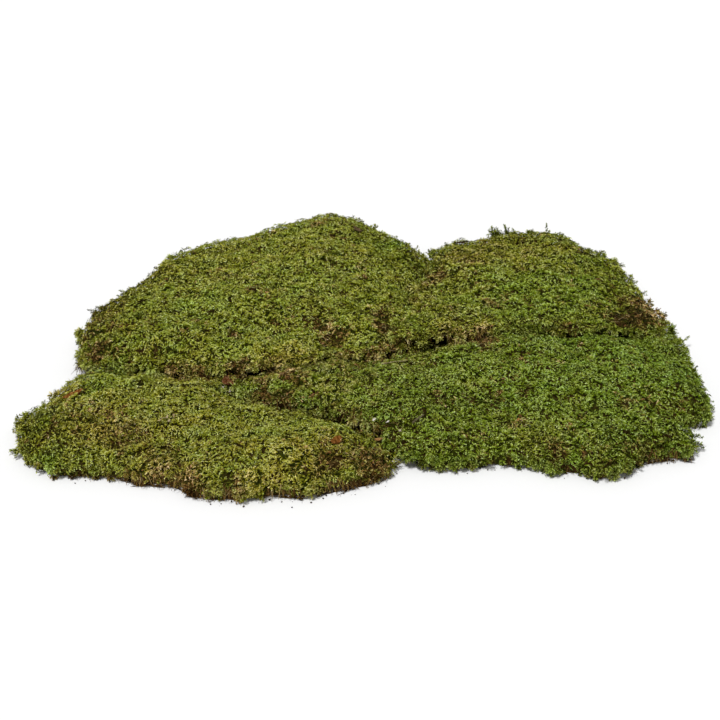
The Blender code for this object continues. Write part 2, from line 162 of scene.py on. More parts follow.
# Worn and brown patches
PATCHES = listed({
    1.0: [(268, 4, 22), (286, 20, 15), (-46, -17, 10)],
    0.95: [(-35, -34, 12), (-84, -108, 10)],
    0.9: [(14, -22, 12), (-74, -116, 10)],
    0.85: [(248, -6, 16), (-94, -139, 10), (110, -56, 14)],
    0.8: [(0, -233, 20), (-192, -256, 12), (-150, -262, 18), (-98, -117, 8), (281, 45, 14), (-75, -144, 10),
         (-176, -104, 13), (-156, -102, 12), (-119, 34, 9)],
    0.75: [(4, -64, 12), (-256, -68, 16), (104, -36, 18), (71, 100, 12)],
    0.7: [(268, 42, 12), (-131, -46, 8), (20, -52, 12), (10, 0, 9), (-38, -240, 12), (-64, -124, 8),
         (-119, -100, 12), (218, -163, 7)],
    0.65: [(122, 35, 10)],
    0.6: [(-108, -266, 10), (-279, -4, 12), (-48, -84, 8), (0, -186, 10), (80, -40, 12), (189, -24, 14),
         (60, 82, 10)],
    0.55: [(-26, -70, 12), (107, 120, 14), (121, -188, 7)],
    0.5: [(-90, -92, 12), (50, 50, 10), (-277, -32, 11), (-17, -176, 12), (151, -222, 10)],
    0.45: [(-204, -206, 26), (-262, -10, 12), (-276, 30, 12), (-262, 68, 10), (222, -223, 14), (-60, 200, 14),
         (272, -222, 10)],
    0.4: [(-171, -228, 20), (-172, -250, 14), (-150, 70, 12)],
    0.35: [(-72, -92, 12), (-35, -164, 10)],
    0.3: [(-113, 82, 10), (-20, -130, 30)],
    0.28: [(-30, -95, 45)],
    0.25: [(82, 12, 16), (30, -85, 40), (100, 150, 30)],
    0.2: [(-50, 110, 50)],
})
# Painted shade (above 0) and painted light (below 0): areas drawn darker or brighter than their neighbours,
# as the broad shading of the mats' relief
PAINTED_SHADING = listed({
    2.2: [(252, 2, 18)],
    1.3: [(-113, -264, 7)],
    1.2: [(-245, 90, 26), (272, -4, 12)],
    1.1: [(-270, 46, 26)],
    1.0: [(-256, -56, 24), (-275, -200, 30), (262, 22, 12), (12, -189, 10)],
    0.9: [(50, 126, 22), (230, -217, 24), (-172, -262, 16), (-148, -266, 16)],
    0.8: [(268, -210, 24), (-49, -3, 10), (-254, 62, 18)],
    0.7: [(-34, -239, 16), (-10, -256, 20), (150, -25, 12), (172, -26, 12)],
    0.6: [(-262, 20, 24), (-215, 120, 26), (-285, -185, 22), (65, 111, 16), (290, -131, 16), (286, -172, 16),
         (-12, -233, 14), (-234, 98, 14), (-280, -15, 14), (-252, -224, 12)],
    0.5: [(35, 171, 18), (215, -228, 26), (245, 168, 20), (205, 205, 16), (-249, 8, 26), (150, 200, 26),
         (63, -221, 18), (183, -230, 18), (-262, 10, 18), (-272, 40, 14), (141, -21, 12), (226, -184, 14),
         (101, -33, 10), (190, 222, 18)],
    0.4: [(-255, -190, 22), (150, -235, 20), (115, 205, 20), (-165, 106, 22), (184, 192, 24), (115, -70, 14),
         (31, -215, 18), (-240, -209, 20), (-238, -136, 18), (120, -22, 10), (131, -204, 18), (-36, -160, 10),
         (122, -208, 11), (143, -206, 12), (39, -212, 10), (160, 218, 14)],
    0.3: [(284, 35, 14), (-27, 207, 22), (-90, 202, 26), (-285, -180, 10), (154, -214, 10), (175, -232, 10)],
    0.2: [(104, -218, 20)],
    0.1: [(144, -222, 18)],
    -0.2: [(120, 60, 30)],
    -0.25: [(-70, -245, 24), (20, -100, 24)],
    -0.3: [(-60, -20, 16), (-45, -215, 20), (-15, -210, 16), (225, 55, 20), (130, -190, 30), (-29, -50, 14),
         (-45, -115, 22), (85, -30, 10), (-28, -135, 14), (160, 120, 40)],
    -0.35: [(-70, 70, 40), (-190, 40, 35), (-200, -15, 26), (-98, -2, 22), (-168, -136, 20), (-159, -72, 18),
         (-28, -112, 16), (-1, -118, 16), (8, -134, 12), (-106, -88, 12), (-83, -98, 12)],
    -0.4: [(1, -182, 8), (-150, -20, 30), (-130, -85, 14), (8, -172, 10), (4, -60, 12)],
    -0.45: [(-120, 130, 75), (-67, -45, 28), (100, 40, 26), (-80, -40, 20), (58, -8, 18), (-111, -83, 14),
         (-56, -81, 14)],
    -0.5: [(-90, -200, 30), (160, 85, 50), (-126, -258, 10), (-92, -262, 12), (-30, -162, 14),
         (-10, -166, 14), (70, -28, 10), (95, -22, 12), (118, -16, 10), (-75, -110, 18), (225, 16, 12),
         (-75, -147, 10), (-190, -196, 16)],
    -0.55: [(-215, -135, 40), (-150, -155, 32)],
    -0.6: [(-83, -90, 18), (-100, -268, 8), (-16, -55, 14), (-106, -95, 10), (-119, -94, 10)],
})
# Yellower (above 0) and greener (below 0) areas
WARMS = listed({
    1.0: [(-73, -100, 24), (-269, 13, 26)],
    0.9: [(99, 131, 26), (106, -21, 18), (75, -30, 18)],
    0.8: [(-225, -195, 28), (-92, -262, 14)],
    0.7: [(-101, -100, 20), (-270, -135, 18), (-164, -262, 30), (160, 180, 35)],
    0.6: [(-36, -150, 24), (120, 140, 22), (-245, 106, 40), (-60, -255, 24), (55, 50, 20), (281, 45, 20)],
    0.5: [(-19, -87, 26), (56, -59, 22), (-160, -180, 16), (-156, -96, 22), (215, 150, 28), (130, -205, 24),
         (165, 130, 28)],
    0.4: [(-30, -235, 26), (-75, -78, 22)],
    0.3: [(65, 10, 20), (100, 100, 50), (120, 180, 40)],
    0.15: [(-120, 130, 80)],
    -0.2: [(50, 105, 20)],
    -0.25: [(216, -50, 40)],
    -0.3: [(140, -150, 40), (280, -110, 40)],
    -0.35: [(230, -100, 70), (-72, 69, 35)],
    -0.4: [(220, 60, 30), (-130, -60, 24), (228, -195, 18)],
    -0.5: [(-235, -130, 18), (-238, -100, 22)],
    -0.55: [(-174, 5, 35)],
    -0.6: [(160, 45, 55), (-36, -196, 14)],
    -0.8: [(23, 157, 16), (36, 166, 14), (-262, -236, 16)],
})
# Laps where the upper mat's edge stands clear of the lower mat; in front of them the lower mat's shoots stand
# lower and get painted shadow, and the lips get a painted highlight
CRISP = listed({
    1.0: [(-120, -102, 12), (-104, -98, 10), (-95, -143, 12), (-77, -149, 12), (-16, -177, 12), (2, -188, 12),
         (12, -200, 10)],
    0.9: [(90, -33, 14), (110, -29, 12)],
    0.8: [(66, -42, 16), (185, -28, 14), (-110, -132, 10), (-34, -167, 12)],
    0.7: [(-60, -151, 10)],
    0.6: [(40, -48, 14)],
    0.5: [(150, -24, 12), (245, -24, 14), (-182, -94, 12), (-86, -94, 10)],
    0.4: [(205, -29, 10), (-150, -97, 12), (-10, -65, 14), (30, -54, 10)],
    0.3: [(8, -62, 10)],
})
# Golden brown tufts
GOLDEN = listed({
    1.0: [(-170, -248, 9)],
    0.9: [(-72, -112, 7), (284, 18, 9)],
    0.8: [(-150, -254, 9)],
    0.7: [(274, 22, 7), (104, -26, 9), (126, -180, 4)],
    0.6: [(280, 32, 7), (83, -28, 9), (-180, -95, 8), (110, 116, 9)],
    0.5: [(4, -62, 10), (-36, -222, 7), (40, 76, 7)],
    0.45: [(67, -38, 7), (-12, -232, 10)],
    0.35: [(-208, -192, 10)],
})
# Edges whose low parts show bare stems
STEMMY = listed({
    1.0: [(-113, -265, 8)],
    0.8: [(-190, -254, 18), (-132, -263, 14), (-20, -245, 20), (-270, -70, 12), (98, -31, 14)],
    0.75: [(-160, -260, 20)],
    0.7: [(-10, -181, 14)],
    0.6: [(-70, -262, 14), (245, -218, 20), (-85, -146, 14)],
    0.35: [(66, -42, 14)],
})
# Bare holes between the shoots, with fewer shoots and painted shade
HOLES = listed({1.0: [
    (-47, -18, 6.5), (-33, -38, 4.5), (19, -25, 4.5), (66, 101, 6), (108, -163, 5), (136, -143, 4),
    (-84, -143, 6), (-100, -132, 5), (-156, -101, 5), (-182, -75, 5.5), (-196, -73, 5), (-119, -99, 5),
    (250, 0, 7), (264, 8, 6), (242, -6, 5), (256, -12, 4.5), (276, 8, 3.5), (272, -4, 4.5), (258, 22, 4.5),
    (23, -192, 5), (12, -189, 8), (1, -184, 4), (18, -206, 5), (-32, -240, 5.5), (86, -145, 3.5),
    (110, -153, 4.5), (-92, -138, 4.5), (-78, -143, 4), (126, 14, 4), (196, 28, 3), (-22, -172, 4.5),
    (-166, -213, 4), (-197, -163, 4), (13, -2, 4.5), (181, -22, 5.5), (218, -163, 3.5), (-116, 30, 4.5),
    (-113, -262, 6), (41, -178, 4), (228, -222, 4.5), (195, -217, 4), (-268, 20, 4), (-262, -18, 5),
]})
# Folds (above 0) and ridges (below 0) of the mats: (strength, half of the width, middle line). They lower and
# raise the shoots, and also get painted shade in the folds and painted light on the ridges.
FOLDS = (
    (0.85, 13, ((-60, -174), (-18, -174), (41, -172), (107, -156))),
    (0.3, 11, ((-210, -70), (-171, -87), (-113, -112), (-96, -136), (-44, -169))),
    (0.4, 14, ((8, -2), (20, -44), (76, -45), (174, -23), (250, -6))),
    (-0.6, 16, ((50, -110), (115, -119), (171, -105), (259, -112))),
    (0.7, 5, ((62, -147), (86, -146), (110, -154), (128, -158))),
    (0.6, 5, ((-60, -120), (-30, -118), (-8, -128), (18, -130))),
    (0.55, 4, ((10, -140), (34, -136), (52, -142))),
    (0.6, 5, ((10, -10), (12, 20), (28, 40))),
    (-0.6, 5, ((58, -34), (85, -28), (105, -23), (130, -18))),
    (0.5, 4, ((-225, -160), (-195, -168), (-160, -176))),
    (0.5, 4, ((-120, -215), (-95, -222), (-65, -220))),
)
# Fronds that stand out of the edges: (x, y, length, rise in degrees, turn from straight outwards, how many)
SPRIGS = (
    (146, 223, 14.5, 70, 0, 9), (160, 229, 14, 70, 0, 3), (169, 234, 12, 55, 30, 2),
    (155, 227, 8, 55, -10, 3), (190, 237, 7, 50, 0, 3), (211, 231, 17.5, 80, 5, 1), (212, 231, 9, 66, -20, 3),
    (228, 222, 8, 50, 0, 4), (-6, 262, 8.5, 50, 10, 3), (9, 238, 9.5, 55, 20, 3), (20, 222, 8, 50, -10, 3),
    (34, 206, 8, 45, 0, 3), (83, 205, 6, 60, 10, 2), (263, 172, 9.5, 30, 0, 2), (277, 142, 9, 20, 10, 2),
    (283, 106, 9, 22, -20, 2), (292, 75, 10, 16, 15, 2), (295, -8, 12, 76, 20, 8), (300, -21, 8, 45, 20, 3),
    (303, -28, 15, 18, 10, 1), (300, -100, 6.5, 5, 0, 2), (296, -144, 12, -25, -25, 3),
    (299, -138, 8, -20, 10, 2), (268, -205, 13, 2, 20, 2), (270, -198, 9, 25, 10, 2),
    (150, -233, 12, -8, -25, 1), (146, -233, 8, 0, 30, 1), (120, -228, 9, -5, 20, 2), (71, -226, 8, -4, 0, 2),
    (90, -226, 7, -6, -30, 1), (-300, -180, 10, 40, -40, 2), (-303, -172, 9, 30, -20, 2),
    (-296, -205, 9, 4, 10, 3), (-290, -210, 8, -5, 30, 2), (-280, -52, 9, 12, 10, 2),
    (-283, -30, 7, 20, -10, 2), (-283, 30, 7, 25, 0, 3), (-276, 46, 6, 30, 0, 3), (-270, 60, 7, 36, -20, 3),
    (-262, 72, 9, 45, 25, 2), (-250, 88, 5, 40, 0, 3), (-130, -262, 8, -12, 0, 2),
    (-98, -266, 9, -12, -10, 2), (-90, -266, 8, -10, 20, 2),
)
# Bits of leaf and chaff that stand out: (x, y, size, shade from dark to pale)
FLECKS = (
    (2, -183, 1.8, 0.98), (13, -188, 2.6, 0.98), (23, -201, 2.2, 0.9), (-12, -177, 1.8, 0.86),
    (-173, -188, 3.6, 0.82), (-166, -186, 3.2, 0.79), (-169, -193, 2.6, 0.84), (-177, -192, 2.6, 0.8),
    (126, -179, 3.2, 0.7), (123, -184, 2.2, 0.66), (219, -160, 2.6, 0.74), (-117, 32, 2.4, 0.85),
    (-124, 29, 1.8, 0.75), (63, -170, 1.8, 0.8), (-131.5, -124, 2.8, 0.97), (-126.5, -124.5, 2.4, 0.93),
    (-117, 82, 1.6, 0.55), (286, 118, 3, 0.4), (282, 122, 2.6, 0.35), (276, 142, 2.8, 0.2),
    (281, 131, 2.4, 0.05), (268, 160, 2.4, 0.3), (277, 150, 2, 0.1),
)


# Numbers for arrays of points; a place is (x, y), and places are (n, 2)


def noise_at(at, size, layer):
    """Smooth noise from about -1 to 1 at each place, with lumps of the given size."""
    return 2.0 * np.array([noise.noise((u, v, layer)) for u, v in (at / size).tolist()])


def scatter(cells, layer):
    """One number from 0 to 1 for each cell (n, 2) of a grid, with no pattern."""
    mixed = np.sin(cells[:, 0] * 127.1 + cells[:, 1] * 311.7 + layer * 74.7) * 43758.5453
    return mixed - np.floor(mixed)


def smoothstep(low, high, value):
    share = np.clip((value - low) / (high - low), 0.0, 1.0)
    return share * share * (3.0 - 2.0 * share)


def unit(vectors):
    return vectors / np.maximum(np.linalg.norm(vectors, axis=-1, keepdims=True), 1e-12)


def square_to(vectors, axes):
    """The unit vectors nearest to some vectors that stand square to others."""
    return unit(vectors - axes * np.sum(vectors * axes, axis=1, keepdims=True))


def level_way(flat):
    return np.column_stack([flat, np.zeros(len(flat))])


def direction(angle):
    return np.column_stack([np.cos(angle), np.sin(angle)])


def raised(flat, rise):
    """Directions (n, 3) over flat ones at an angle from the ground, and their upper sides."""
    heading = np.column_stack([flat * np.cos(rise)[:, None], np.sin(rise)])
    upper = np.column_stack([-flat * np.sin(rise)[:, None], np.cos(rise)])
    return heading, upper


def aimed(out, turn, rise):
    """The direction of one thing, turned from the way out and raised from the ground, and its upper side."""
    x, y = out
    turn, rise = np.array([turn]), np.array([rise])
    flat = np.column_stack([x * np.cos(turn) - y * np.sin(turn), x * np.sin(turn) + y * np.cos(turn)])
    heading, upper = raised(flat, rise)
    return heading[0], upper[0]


def kept(keep, *arrays):
    return (values[keep] for values in arrays)


def distance_to(at, lines):
    """The distance of each place from the nearest of some straight lines."""
    x, y = at[..., 0], at[..., 1]
    best = np.full(x.shape, np.inf)
    for (ax, ay, *_), (bx, by, *_) in lines:
        run, rise = bx - ax, by - ay
        share = np.clip(((x - ax) * run + (y - ay) * rise) / (run * run + rise * rise), 0.0, 1.0)
        best = np.minimum(best, np.hypot(x - ax - share * run, y - ay - share * rise))
    return best


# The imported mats


def welded(name):
    """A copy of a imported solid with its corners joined, to work on."""
    solid = bmesh.new()
    solid.from_mesh(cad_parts[name].data)
    bmesh.ops.remove_doubles(solid, verts=solid.verts, dist=1e-6)
    return solid


class Mat:
    """One packed mat, read as height maps on a raster."""

    def __init__(self, index):
        self.index, self.name, self.grain = index, MATS[index], GRAIN[index]
        solid = welded(self.name)
        solid.normal_update()
        self.tree = BVHTree.FromBMesh(solid)
        self.ends, self.outward = rim_segments(solid)
        self.middles = self.ends.mean(axis=1)
        solid.free()
        low, high = (np.array(corner)[:2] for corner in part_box(self.name))
        self.low = low - 4.0 * RASTER_STEP
        axes = [np.arange(start, end + 5.0 * RASTER_STEP, RASTER_STEP) for start, end in zip(self.low, high)]
        self.reach = np.array([len(axis) for axis in axes]) - 1.001
        places = np.stack(np.meshgrid(*axes), axis=-1)
        top, bottom = self.cast(places, 1.0), self.cast(places, -1.0)
        self.inside = np.where(np.isnan(top), -1.0, 1.0) * distance_to(places, self.ends)
        self.top, self.bottom = spread(top), spread(bottom)
        self.own_top = np.where(self.inside > 0.0, self.top, 0.0)

    def cast(self, places, side):
        """The heights where vertical rays from above (1) or below (-1) meet the mat."""
        along = Vector((0.0, 0.0, -side))
        hits = [self.tree.ray_cast((x, y, side), along)[0] for x, y in places.reshape(-1, 2).tolist()]
        return np.array([hit.z if hit else np.nan for hit in hits]).reshape(places.shape[:2])

    def sample(self, raster, at):
        """The value of one of the rasters at each place."""
        column, row = np.clip((at - self.low) / RASTER_STEP, 0.0, self.reach).T
        left, front = column.astype(int), row.astype(int)
        across, back = column - left, row - front
        near = raster[front, left] * (1.0 - across) + raster[front, left + 1] * across
        far = raster[front + 1, left] * (1.0 - across) + raster[front + 1, left + 1] * across
        return near * (1.0 - back) + far * back

    def slope(self, raster, at):
        """The rise of a raster to the right and to the back, (n, 2)."""
        step = 2.0 * RASTER_STEP
        rises = [self.sample(raster, at + way) - self.sample(raster, at - way) for way in step * np.eye(2)]
        return np.clip(np.column_stack(rises) / (2.0 * step), -1.2, 1.2)

    def covered(self, at):
        """How far inside the edge of a mat above each place lies."""
        return highest(-1.0, self.above, "inside", at)

    def lapping(self, at):
        """How far inside the edge of a mat below each place lies."""
        return highest(-1.0, self.below, "inside", at)


def highest(least, mats, raster, at):
    """The highest value of one of the rasters of some mats at each place."""
    values = [mat.sample(getattr(mat, raster), at) for mat in mats]
    return np.max([np.full(len(at), least), *values], axis=0)


def rim_segments(solid):
    """The outermost line of a mat: the ends (n, 2, 3) of its pieces and the ways out (n, 2)."""
    ends, outward = [], []
    for edge in solid.edges:
        faces = edge.link_faces
        if len(faces) == 2 and faces[0].normal.z * faces[1].normal.z < 0.0:
            ends.append([corner.co[:] for corner in edge.verts])
            outward.append((faces[0].normal + faces[1].normal).xy[:])
    return np.array(ends), unit(np.array(outward))


def spread(raster):
    """Fills the samples outside the mat from their neighbours inside it."""
    for _ in range(6):
        stack = np.stack([np.roll(raster, shift, axis=axis) for axis in (0, 1) for shift in (-1, 1)])
        count = (~np.isnan(stack)).sum(axis=0)
        fill = np.isnan(raster) & (count > 0)
        raster = np.where(fill, np.nansum(stack, axis=0) / np.maximum(count, 1), raster)
    return np.where(np.isnan(raster), 0.0, raster)


def read_mats():
    """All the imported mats, from the lowest to the highest, each with those below and above it."""
    mats = [Mat(index) for index in range(len(MATS))]
    for index, mat in enumerate(mats):
        mat.below, mat.above = mats[:index], mats[index + 1:]
    return mats


# Where the moss is brown, bare or yellow, and where shade and light are painted on it


def ragged(at, uneven, size, layer):
    """Factors of about 1 that make the edges of round areas uneven."""
    return 1.0 + uneven * noise_at(at, size, layer)


def strengths(areas, at, ragged_by, power):
    """The strength of each listed area at each place: all of it in the middle, and none far outside."""
    x, y = at.T
    return [strength * np.exp(-(np.hypot(x - px, y - py) / radius * ragged_by) ** power)
            for px, py, radius, strength in areas]


def patched(areas, at, ragged_by, power=3):
    return np.max(strengths(areas, at, ragged_by, power), axis=0)


def summed(areas, at, ragged_by):
    return sum(strengths(areas, at, ragged_by, 2))


def warm_at(at):
    """How yellow the green is at each place, from 0 to 1."""
    uneven = 0.30 * noise_at(at, 0.024, 85.0) + 0.20 * noise_at(at, 0.009, 87.0)
    return np.clip(0.5 + 0.5 * (summed(WARMS, at, ragged(at, 0.30, 0.014, 83.0)) + uneven), 0.0, 1.0)


def brown_at(at):
    """How brown the moss is at each place, from 0 to 1."""
    spots = smoothstep(0.40, 0.85, noise_at(at, 0.0075, 71.0))
    areas = smoothstep(-0.15, 0.45, noise_at(at, 0.055, 73.0))
    spots = 0.75 * spots * areas * (0.35 + 0.9 * warm_at(at))
    return np.maximum(patched(PATCHES, at, ragged(at, 0.40, 0.010, 75.0)), spots)


def folded_at(at):
    """How deep in a fold (above 0) or high on a ridge (below 0) of its mat each place is."""
    folded = np.zeros(len(at))
    uneven = ragged(at, 0.30, 0.012, 77.0)
    for strength, width, line in FOLDS:
        corners = np.array(line) / 1000.0
        away = distance_to(at, zip(corners, corners[1:])) / (width / 1000.0)
        folded += strength * np.exp(-(away * uneven) ** 2)
    return folded


def painted_shading_at(at):
    """The painted shade (above 0) or painted light (below 0) of the moss at each place: the listed areas,
    with painted shade in the folds and painted light on the ridges.
    """
    return summed(PAINTED_SHADING, at, ragged(at, 0.30, 0.012, 77.0)) + folded_at(at)


def crisp_at(at):
    """Where the edge of the upper mat stands clear of the lower one, from 0 to 1."""
    return patched(CRISP, at, ragged(at, 0.25, 0.009, 89.0))


def golden_at(at):
    return patched(GOLDEN, at, ragged(at, 0.30, 0.007, 91.0))


def stemmy_at(at):
    """Where the stems under the shoots show at the edge, from 0 to 1."""
    return patched(STEMMY, at, ragged(at, 0.25, 0.008, 79.0))


def bare_at(at):
    return patched(HOLES, at, 1.0, 4)


def litter_at(at):
    """Which places lie under the bits of litter, or right beside them."""
    near = np.zeros(len(at), dtype=bool)
    for name in LITTER:
        low, high = (np.array(corner)[:2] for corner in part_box(name))
        near |= np.all((at > low - LITTER_REACH) & (at < high + LITTER_REACH), axis=1)
    return near


# Meshes of many small things


def joined_mesh(name, points, triangles, places, **attributes):
    """One mesh of many copies (n, corners, 3), each with a cell of the bake map of its own."""
    count, corners = points.shape[:2]
    points[..., 2] = np.maximum(points[..., 2], OFF_GROUND)
    faces = (triangles[None] + corners * np.arange(count)[:, None, None]).reshape(-1, 3)
    mesh = bpy.data.meshes.new(name)
    mesh.from_pydata(points.reshape(-1, 3).tolist(), [], faces.tolist())
    across = math.ceil(math.sqrt(count))
    cells = np.column_stack([np.arange(count) % across, np.arange(count) // across])
    at = ((cells[:, None] + places[None]) / across).reshape(-1, 2)
    layer = mesh.uv_layers.new(name="OFBake")
    layer.uv.foreach_set("vector", at[faces.ravel()].astype(np.float32).ravel())
    for key, value in attributes.items():
        value = np.broadcast_to(value, (count, corners)).astype(np.float32)
        mesh.attributes.new(key, "FLOAT", "POINT").data.foreach_set("value", value.ravel())
    return mesh


class Shoots:
    """A growing list of shoots, as arrays that are joined at the end."""

    def __init__(self):
        self.parts = []

    def add(self, **values):
        for key in ("vary", "brown", "light"):
            values[key] = np.clip(values[key], 0.0, 1.0)
        self.parts.append(values)

    def arrays(self):
        return {key: np.concatenate([part[key] for part in self.parts]) for key in self.parts[0]}


def stem_lift(length, rise, fall):
    """Height of the highest point of a shoot that bends from one angle to the other."""
    level = np.minimum(np.cos(rise) - np.where(fall < 0.0, 1.0, np.cos(fall)), 0.0)
    return length * level / np.minimum(fall - rise, -0.05)


def shoot_points(shoots, rng):
    """The corners of every shoot, (n, 10, 3): four along its stem, then the tips of its side branches."""
    count = len(shoots["length"])
    rise, length = shoots["rise"], shoots["length"][:, None]
    bend = np.minimum(shoots["fall"] - rise, -0.05)
    heading, up = shoots["heading"], shoots["up"]
    side = unit(np.cross(heading, up))
    roll = shoots["roll"][:, None]

    def stem(share):
        angle = rise + bend * share
        run = ((np.sin(angle) - np.sin(rise)) / bend)[:, None]
        lift = ((np.cos(rise) - np.cos(angle)) / bend)[:, None]
        upper = up * np.cos(angle)[:, None] - heading * np.sin(angle)[:, None]
        return shoots["root"] + length * (heading * run + up * lift), upper

    points = [stem(np.full(count, share))[0] for share in STATIONS]
    for hand in (-1.0, 1.0):
        for pair in range(SHOOT_PAIRS):
            middle = 0.5 * (STATIONS[pair] + STATIONS[pair + 1])
            place, upper = stem(middle + PAIR_SWEEP * rng.uniform(0.6, 1.4, count))
            across = side * np.cos(roll) + upper * np.sin(roll)
            reach = 0.5 * shoots["width"] * PAIR_WIDTHS[pair] * rng.uniform(0.7, 1.25, count)
            droop = rng.uniform(-0.1, 0.5, count)
            points.append(place + (hand * across - upper * droop[:, None]) * reach[:, None])
    return np.stack(points, axis=1)


def shoot_template():
    """Triangles, places on the bake map, shares of the length and leafiness of one shoot's corners."""
    stations = SHOOT_PAIRS + 1
    triangles = []
    for pair in range(SHOOT_PAIRS):
        triangles.append((pair, pair + 1, stations + pair))
        triangles.append((pair + 1, pair, stations + SHOOT_PAIRS + pair))
    middles = 0.5 * (STATIONS[:-1] + STATIONS[1:]) + PAIR_SWEEP
    share = np.concatenate([STATIONS, middles, middles])
    sides = np.repeat([0.5, 0.05, 0.95], [stations, SHOOT_PAIRS, SHOOT_PAIRS])
    leafy = np.repeat([0.0, 1.0], [stations, 2 * SHOOT_PAIRS])
    return np.array(triangles), np.column_stack([sides, 0.04 + 0.84 * share]), share, leafy


def shoot_mesh(name, shoots, rng):
    """Some shoots as one mesh, with the shade of each corner."""
    points = shoot_points(shoots, rng)
    triangles, places, share, leafy = shoot_template()
    own = rng.normal(0.0, OWN_SHADE, points.shape[:2]) * (0.5 + 0.5 * leafy)
    vary, brown, warm, light = (shoots[key][:, None] for key in ("vary", "brown", "warm", "light"))
    vary = np.clip(vary + 0.5 * own, 0.0, 1.0)
    light = np.clip(light + own + 0.10 * leafy, 0.0, 1.0)
    return joined_mesh(
        name, points, triangles, places, tip=share, vary=vary, brown=brown, warm=warm, light=light)


class Fibres:
    """A growing list of thin stems, with a foot, a heading, an upper side, a length and a radius."""

    def __init__(self):
        self.rows = []

    def add(self, foot, heading, upper, length, radius, bend, vary):
        self.rows.append((*foot, *heading, *upper, length, radius, bend, vary))

    def mesh(self, name):
        rows = np.array(self.rows)
        foot, heading, upper = rows[:, None, 0:3], rows[:, None, 3:6], rows[:, None, 6:9]
        length, radius, bend = rows[:, 9:12].T[..., None, None]
        side = np.cross(heading, upper)
        rings = []
        for share in np.linspace(0.0, 1.0, FIBRE_STEPS + 1):
            middle = foot + length * (heading * share + upper * bend * share**2)
            thick = radius * (1.0 - 0.6 * share)
            for turn in np.linspace(0.0, 2.0 * math.pi, FIBRE_SIDES, endpoint=False):
                rings.append(middle + thick * (side * math.cos(turn) + upper * math.sin(turn)))
        triangles, places = [], []
        for step in range(FIBRE_STEPS):
            for turn in range(FIBRE_SIDES):
                here, beside = step * FIBRE_SIDES + turn, step * FIBRE_SIDES + (turn + 1) % FIBRE_SIDES
                above, over_beside = here + FIBRE_SIDES, beside + FIBRE_SIDES
                triangles += [(here, beside, over_beside), (here, over_beside, above)]
        for step in range(FIBRE_STEPS + 1):
            places += [(0.1 + 0.4 * turn, 0.1 + 0.8 * step / FIBRE_STEPS) for turn in range(FIBRE_SIDES)]
        points = np.concatenate(rings, axis=1)
        return joined_mesh(name, points, np.array(triangles), np.array(places), vary=rows[:, 12:])


# Shoots on top of the mats


def top_places(mat, rng):
    """Scattered places on the open top of a mat."""
    low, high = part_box(mat.name)
    spacing = SHOOT_SPACING * mat.grain
    rows = np.arange(low[1], high[1], spacing * math.sqrt(3.0) / 2.0)
    x, y = np.meshgrid(np.arange(low[0], high[0], spacing), rows)
    x = x + 0.5 * spacing * (np.arange(len(rows)) % 2)[:, None]
    at = np.column_stack([x.ravel(), y.ravel()]) + rng.uniform(-0.5, 0.5, (2, x.size)).T * spacing
    return at[(mat.sample(mat.inside, at) > TOP_MARGIN) & (mat.covered(at) < COVER_REACH)]


def tufts(at, layer):
    """The middle of each place's tuft, the distance from it, and two random numbers of that tuft."""
    own = np.floor(at / TUFT_SIZE)
    best = np.full(len(at), np.inf)
    middle, cell = np.zeros(at.shape), np.zeros(at.shape)
    for step in np.ndindex(3, 3):
        near = own + step - 1.0
        shift = np.column_stack([scatter(near, layer), scatter(near, layer + 1.0)])
        place = (near + 0.05 + 0.9 * shift) * TUFT_SIZE
        gap = np.hypot(*(at - place).T)
        closer = gap < best
        best[closer], middle[closer], cell[closer] = gap[closer], place[closer], near[closer]
    return middle, best, scatter(cell, layer + 2.0), scatter(cell, layer + 3.0)


def cushions(at):
    """The soft cushions: their height from about -1 to 1, and the way down from their middles."""
    height = noise_at(at, CUSHION_SIZE, 11.0)
    steps = 0.1 * CUSHION_SIZE * np.eye(2)
    down = np.column_stack([height - noise_at(at + step, CUSHION_SIZE, 11.0) for step in steps])
    return height + 0.5 * noise_at(at, 2.3 * CUSHION_SIZE, 13.0), down / 0.2


def top_tufts(mat, rng):
    """The places of the shoots on top of a mat, and what the moss is like at each of them."""
    at = top_places(mat, rng)
    middle, gap, vary, dead = tufts(at / mat.grain, 10.0 * mat.index)
    bare = bare_at(at)
    golden = golden_at(at) * (0.5 + 0.5 * vary)
    brown = np.clip(brown_at(at) * (0.75 + 0.5 * dead), 0.0, 1.0)
    dying = np.where(dead > DEAD_TUFTS, 0.6, 0.0) * np.exp(-(gap / (0.45 * TUFT_SIZE)) ** 2)
    brown = np.max([brown, dying, golden], axis=0)
    keep = rng.random(len(at)) > np.maximum(0.20 * brown, 0.85 * bare)
    at, middle, gap, vary, dead, bare, golden, brown = kept(
        keep, at, middle, gap, vary, dead, bare, golden, brown)
    return SimpleNamespace(
        at=at, middle=middle, gap=gap, vary=vary, dead=dead, bare=bare, golden=golden, brown=brown)


def add_surroundings(tuft, mat):
    """Adds how high each place lies in its tuft, and how near it is to edges, laps and seams."""
    tuft.cushion, tuft.down = cushions(tuft.at)
    tuft.dome = 1.0 - np.clip(tuft.gap / (0.60 * TUFT_SIZE), 0.0, 1.15) ** 2
    inside, under_lap, crisp = mat.sample(mat.inside, tuft.at), mat.covered(tuft.at), crisp_at(tuft.at)
    lap = smoothstep(-0.002, 0.006, mat.lapping(tuft.at))
    tuft.edge = np.exp(-inside / 0.005) * (1.0 - 0.6 * lap)
    tuft.seam = smoothstep(-SEAM_REACH, -0.25 * SEAM_REACH, under_lap) * (1.0 - tuft.brown) * (1.0 - crisp)
    tuft.shadow = smoothstep(-0.0065, 0.0, under_lap) * crisp
    tuft.lip = np.exp(-inside / 0.006) * lap * crisp
    lumps = np.exp(-inside / 0.020) * (1.0 - lap) * noise_at(tuft.at, 0.0075, 55.0 + mat.index)
    tuft.rim_lumps = RIM_LUMPS * np.maximum(lumps, -0.3)


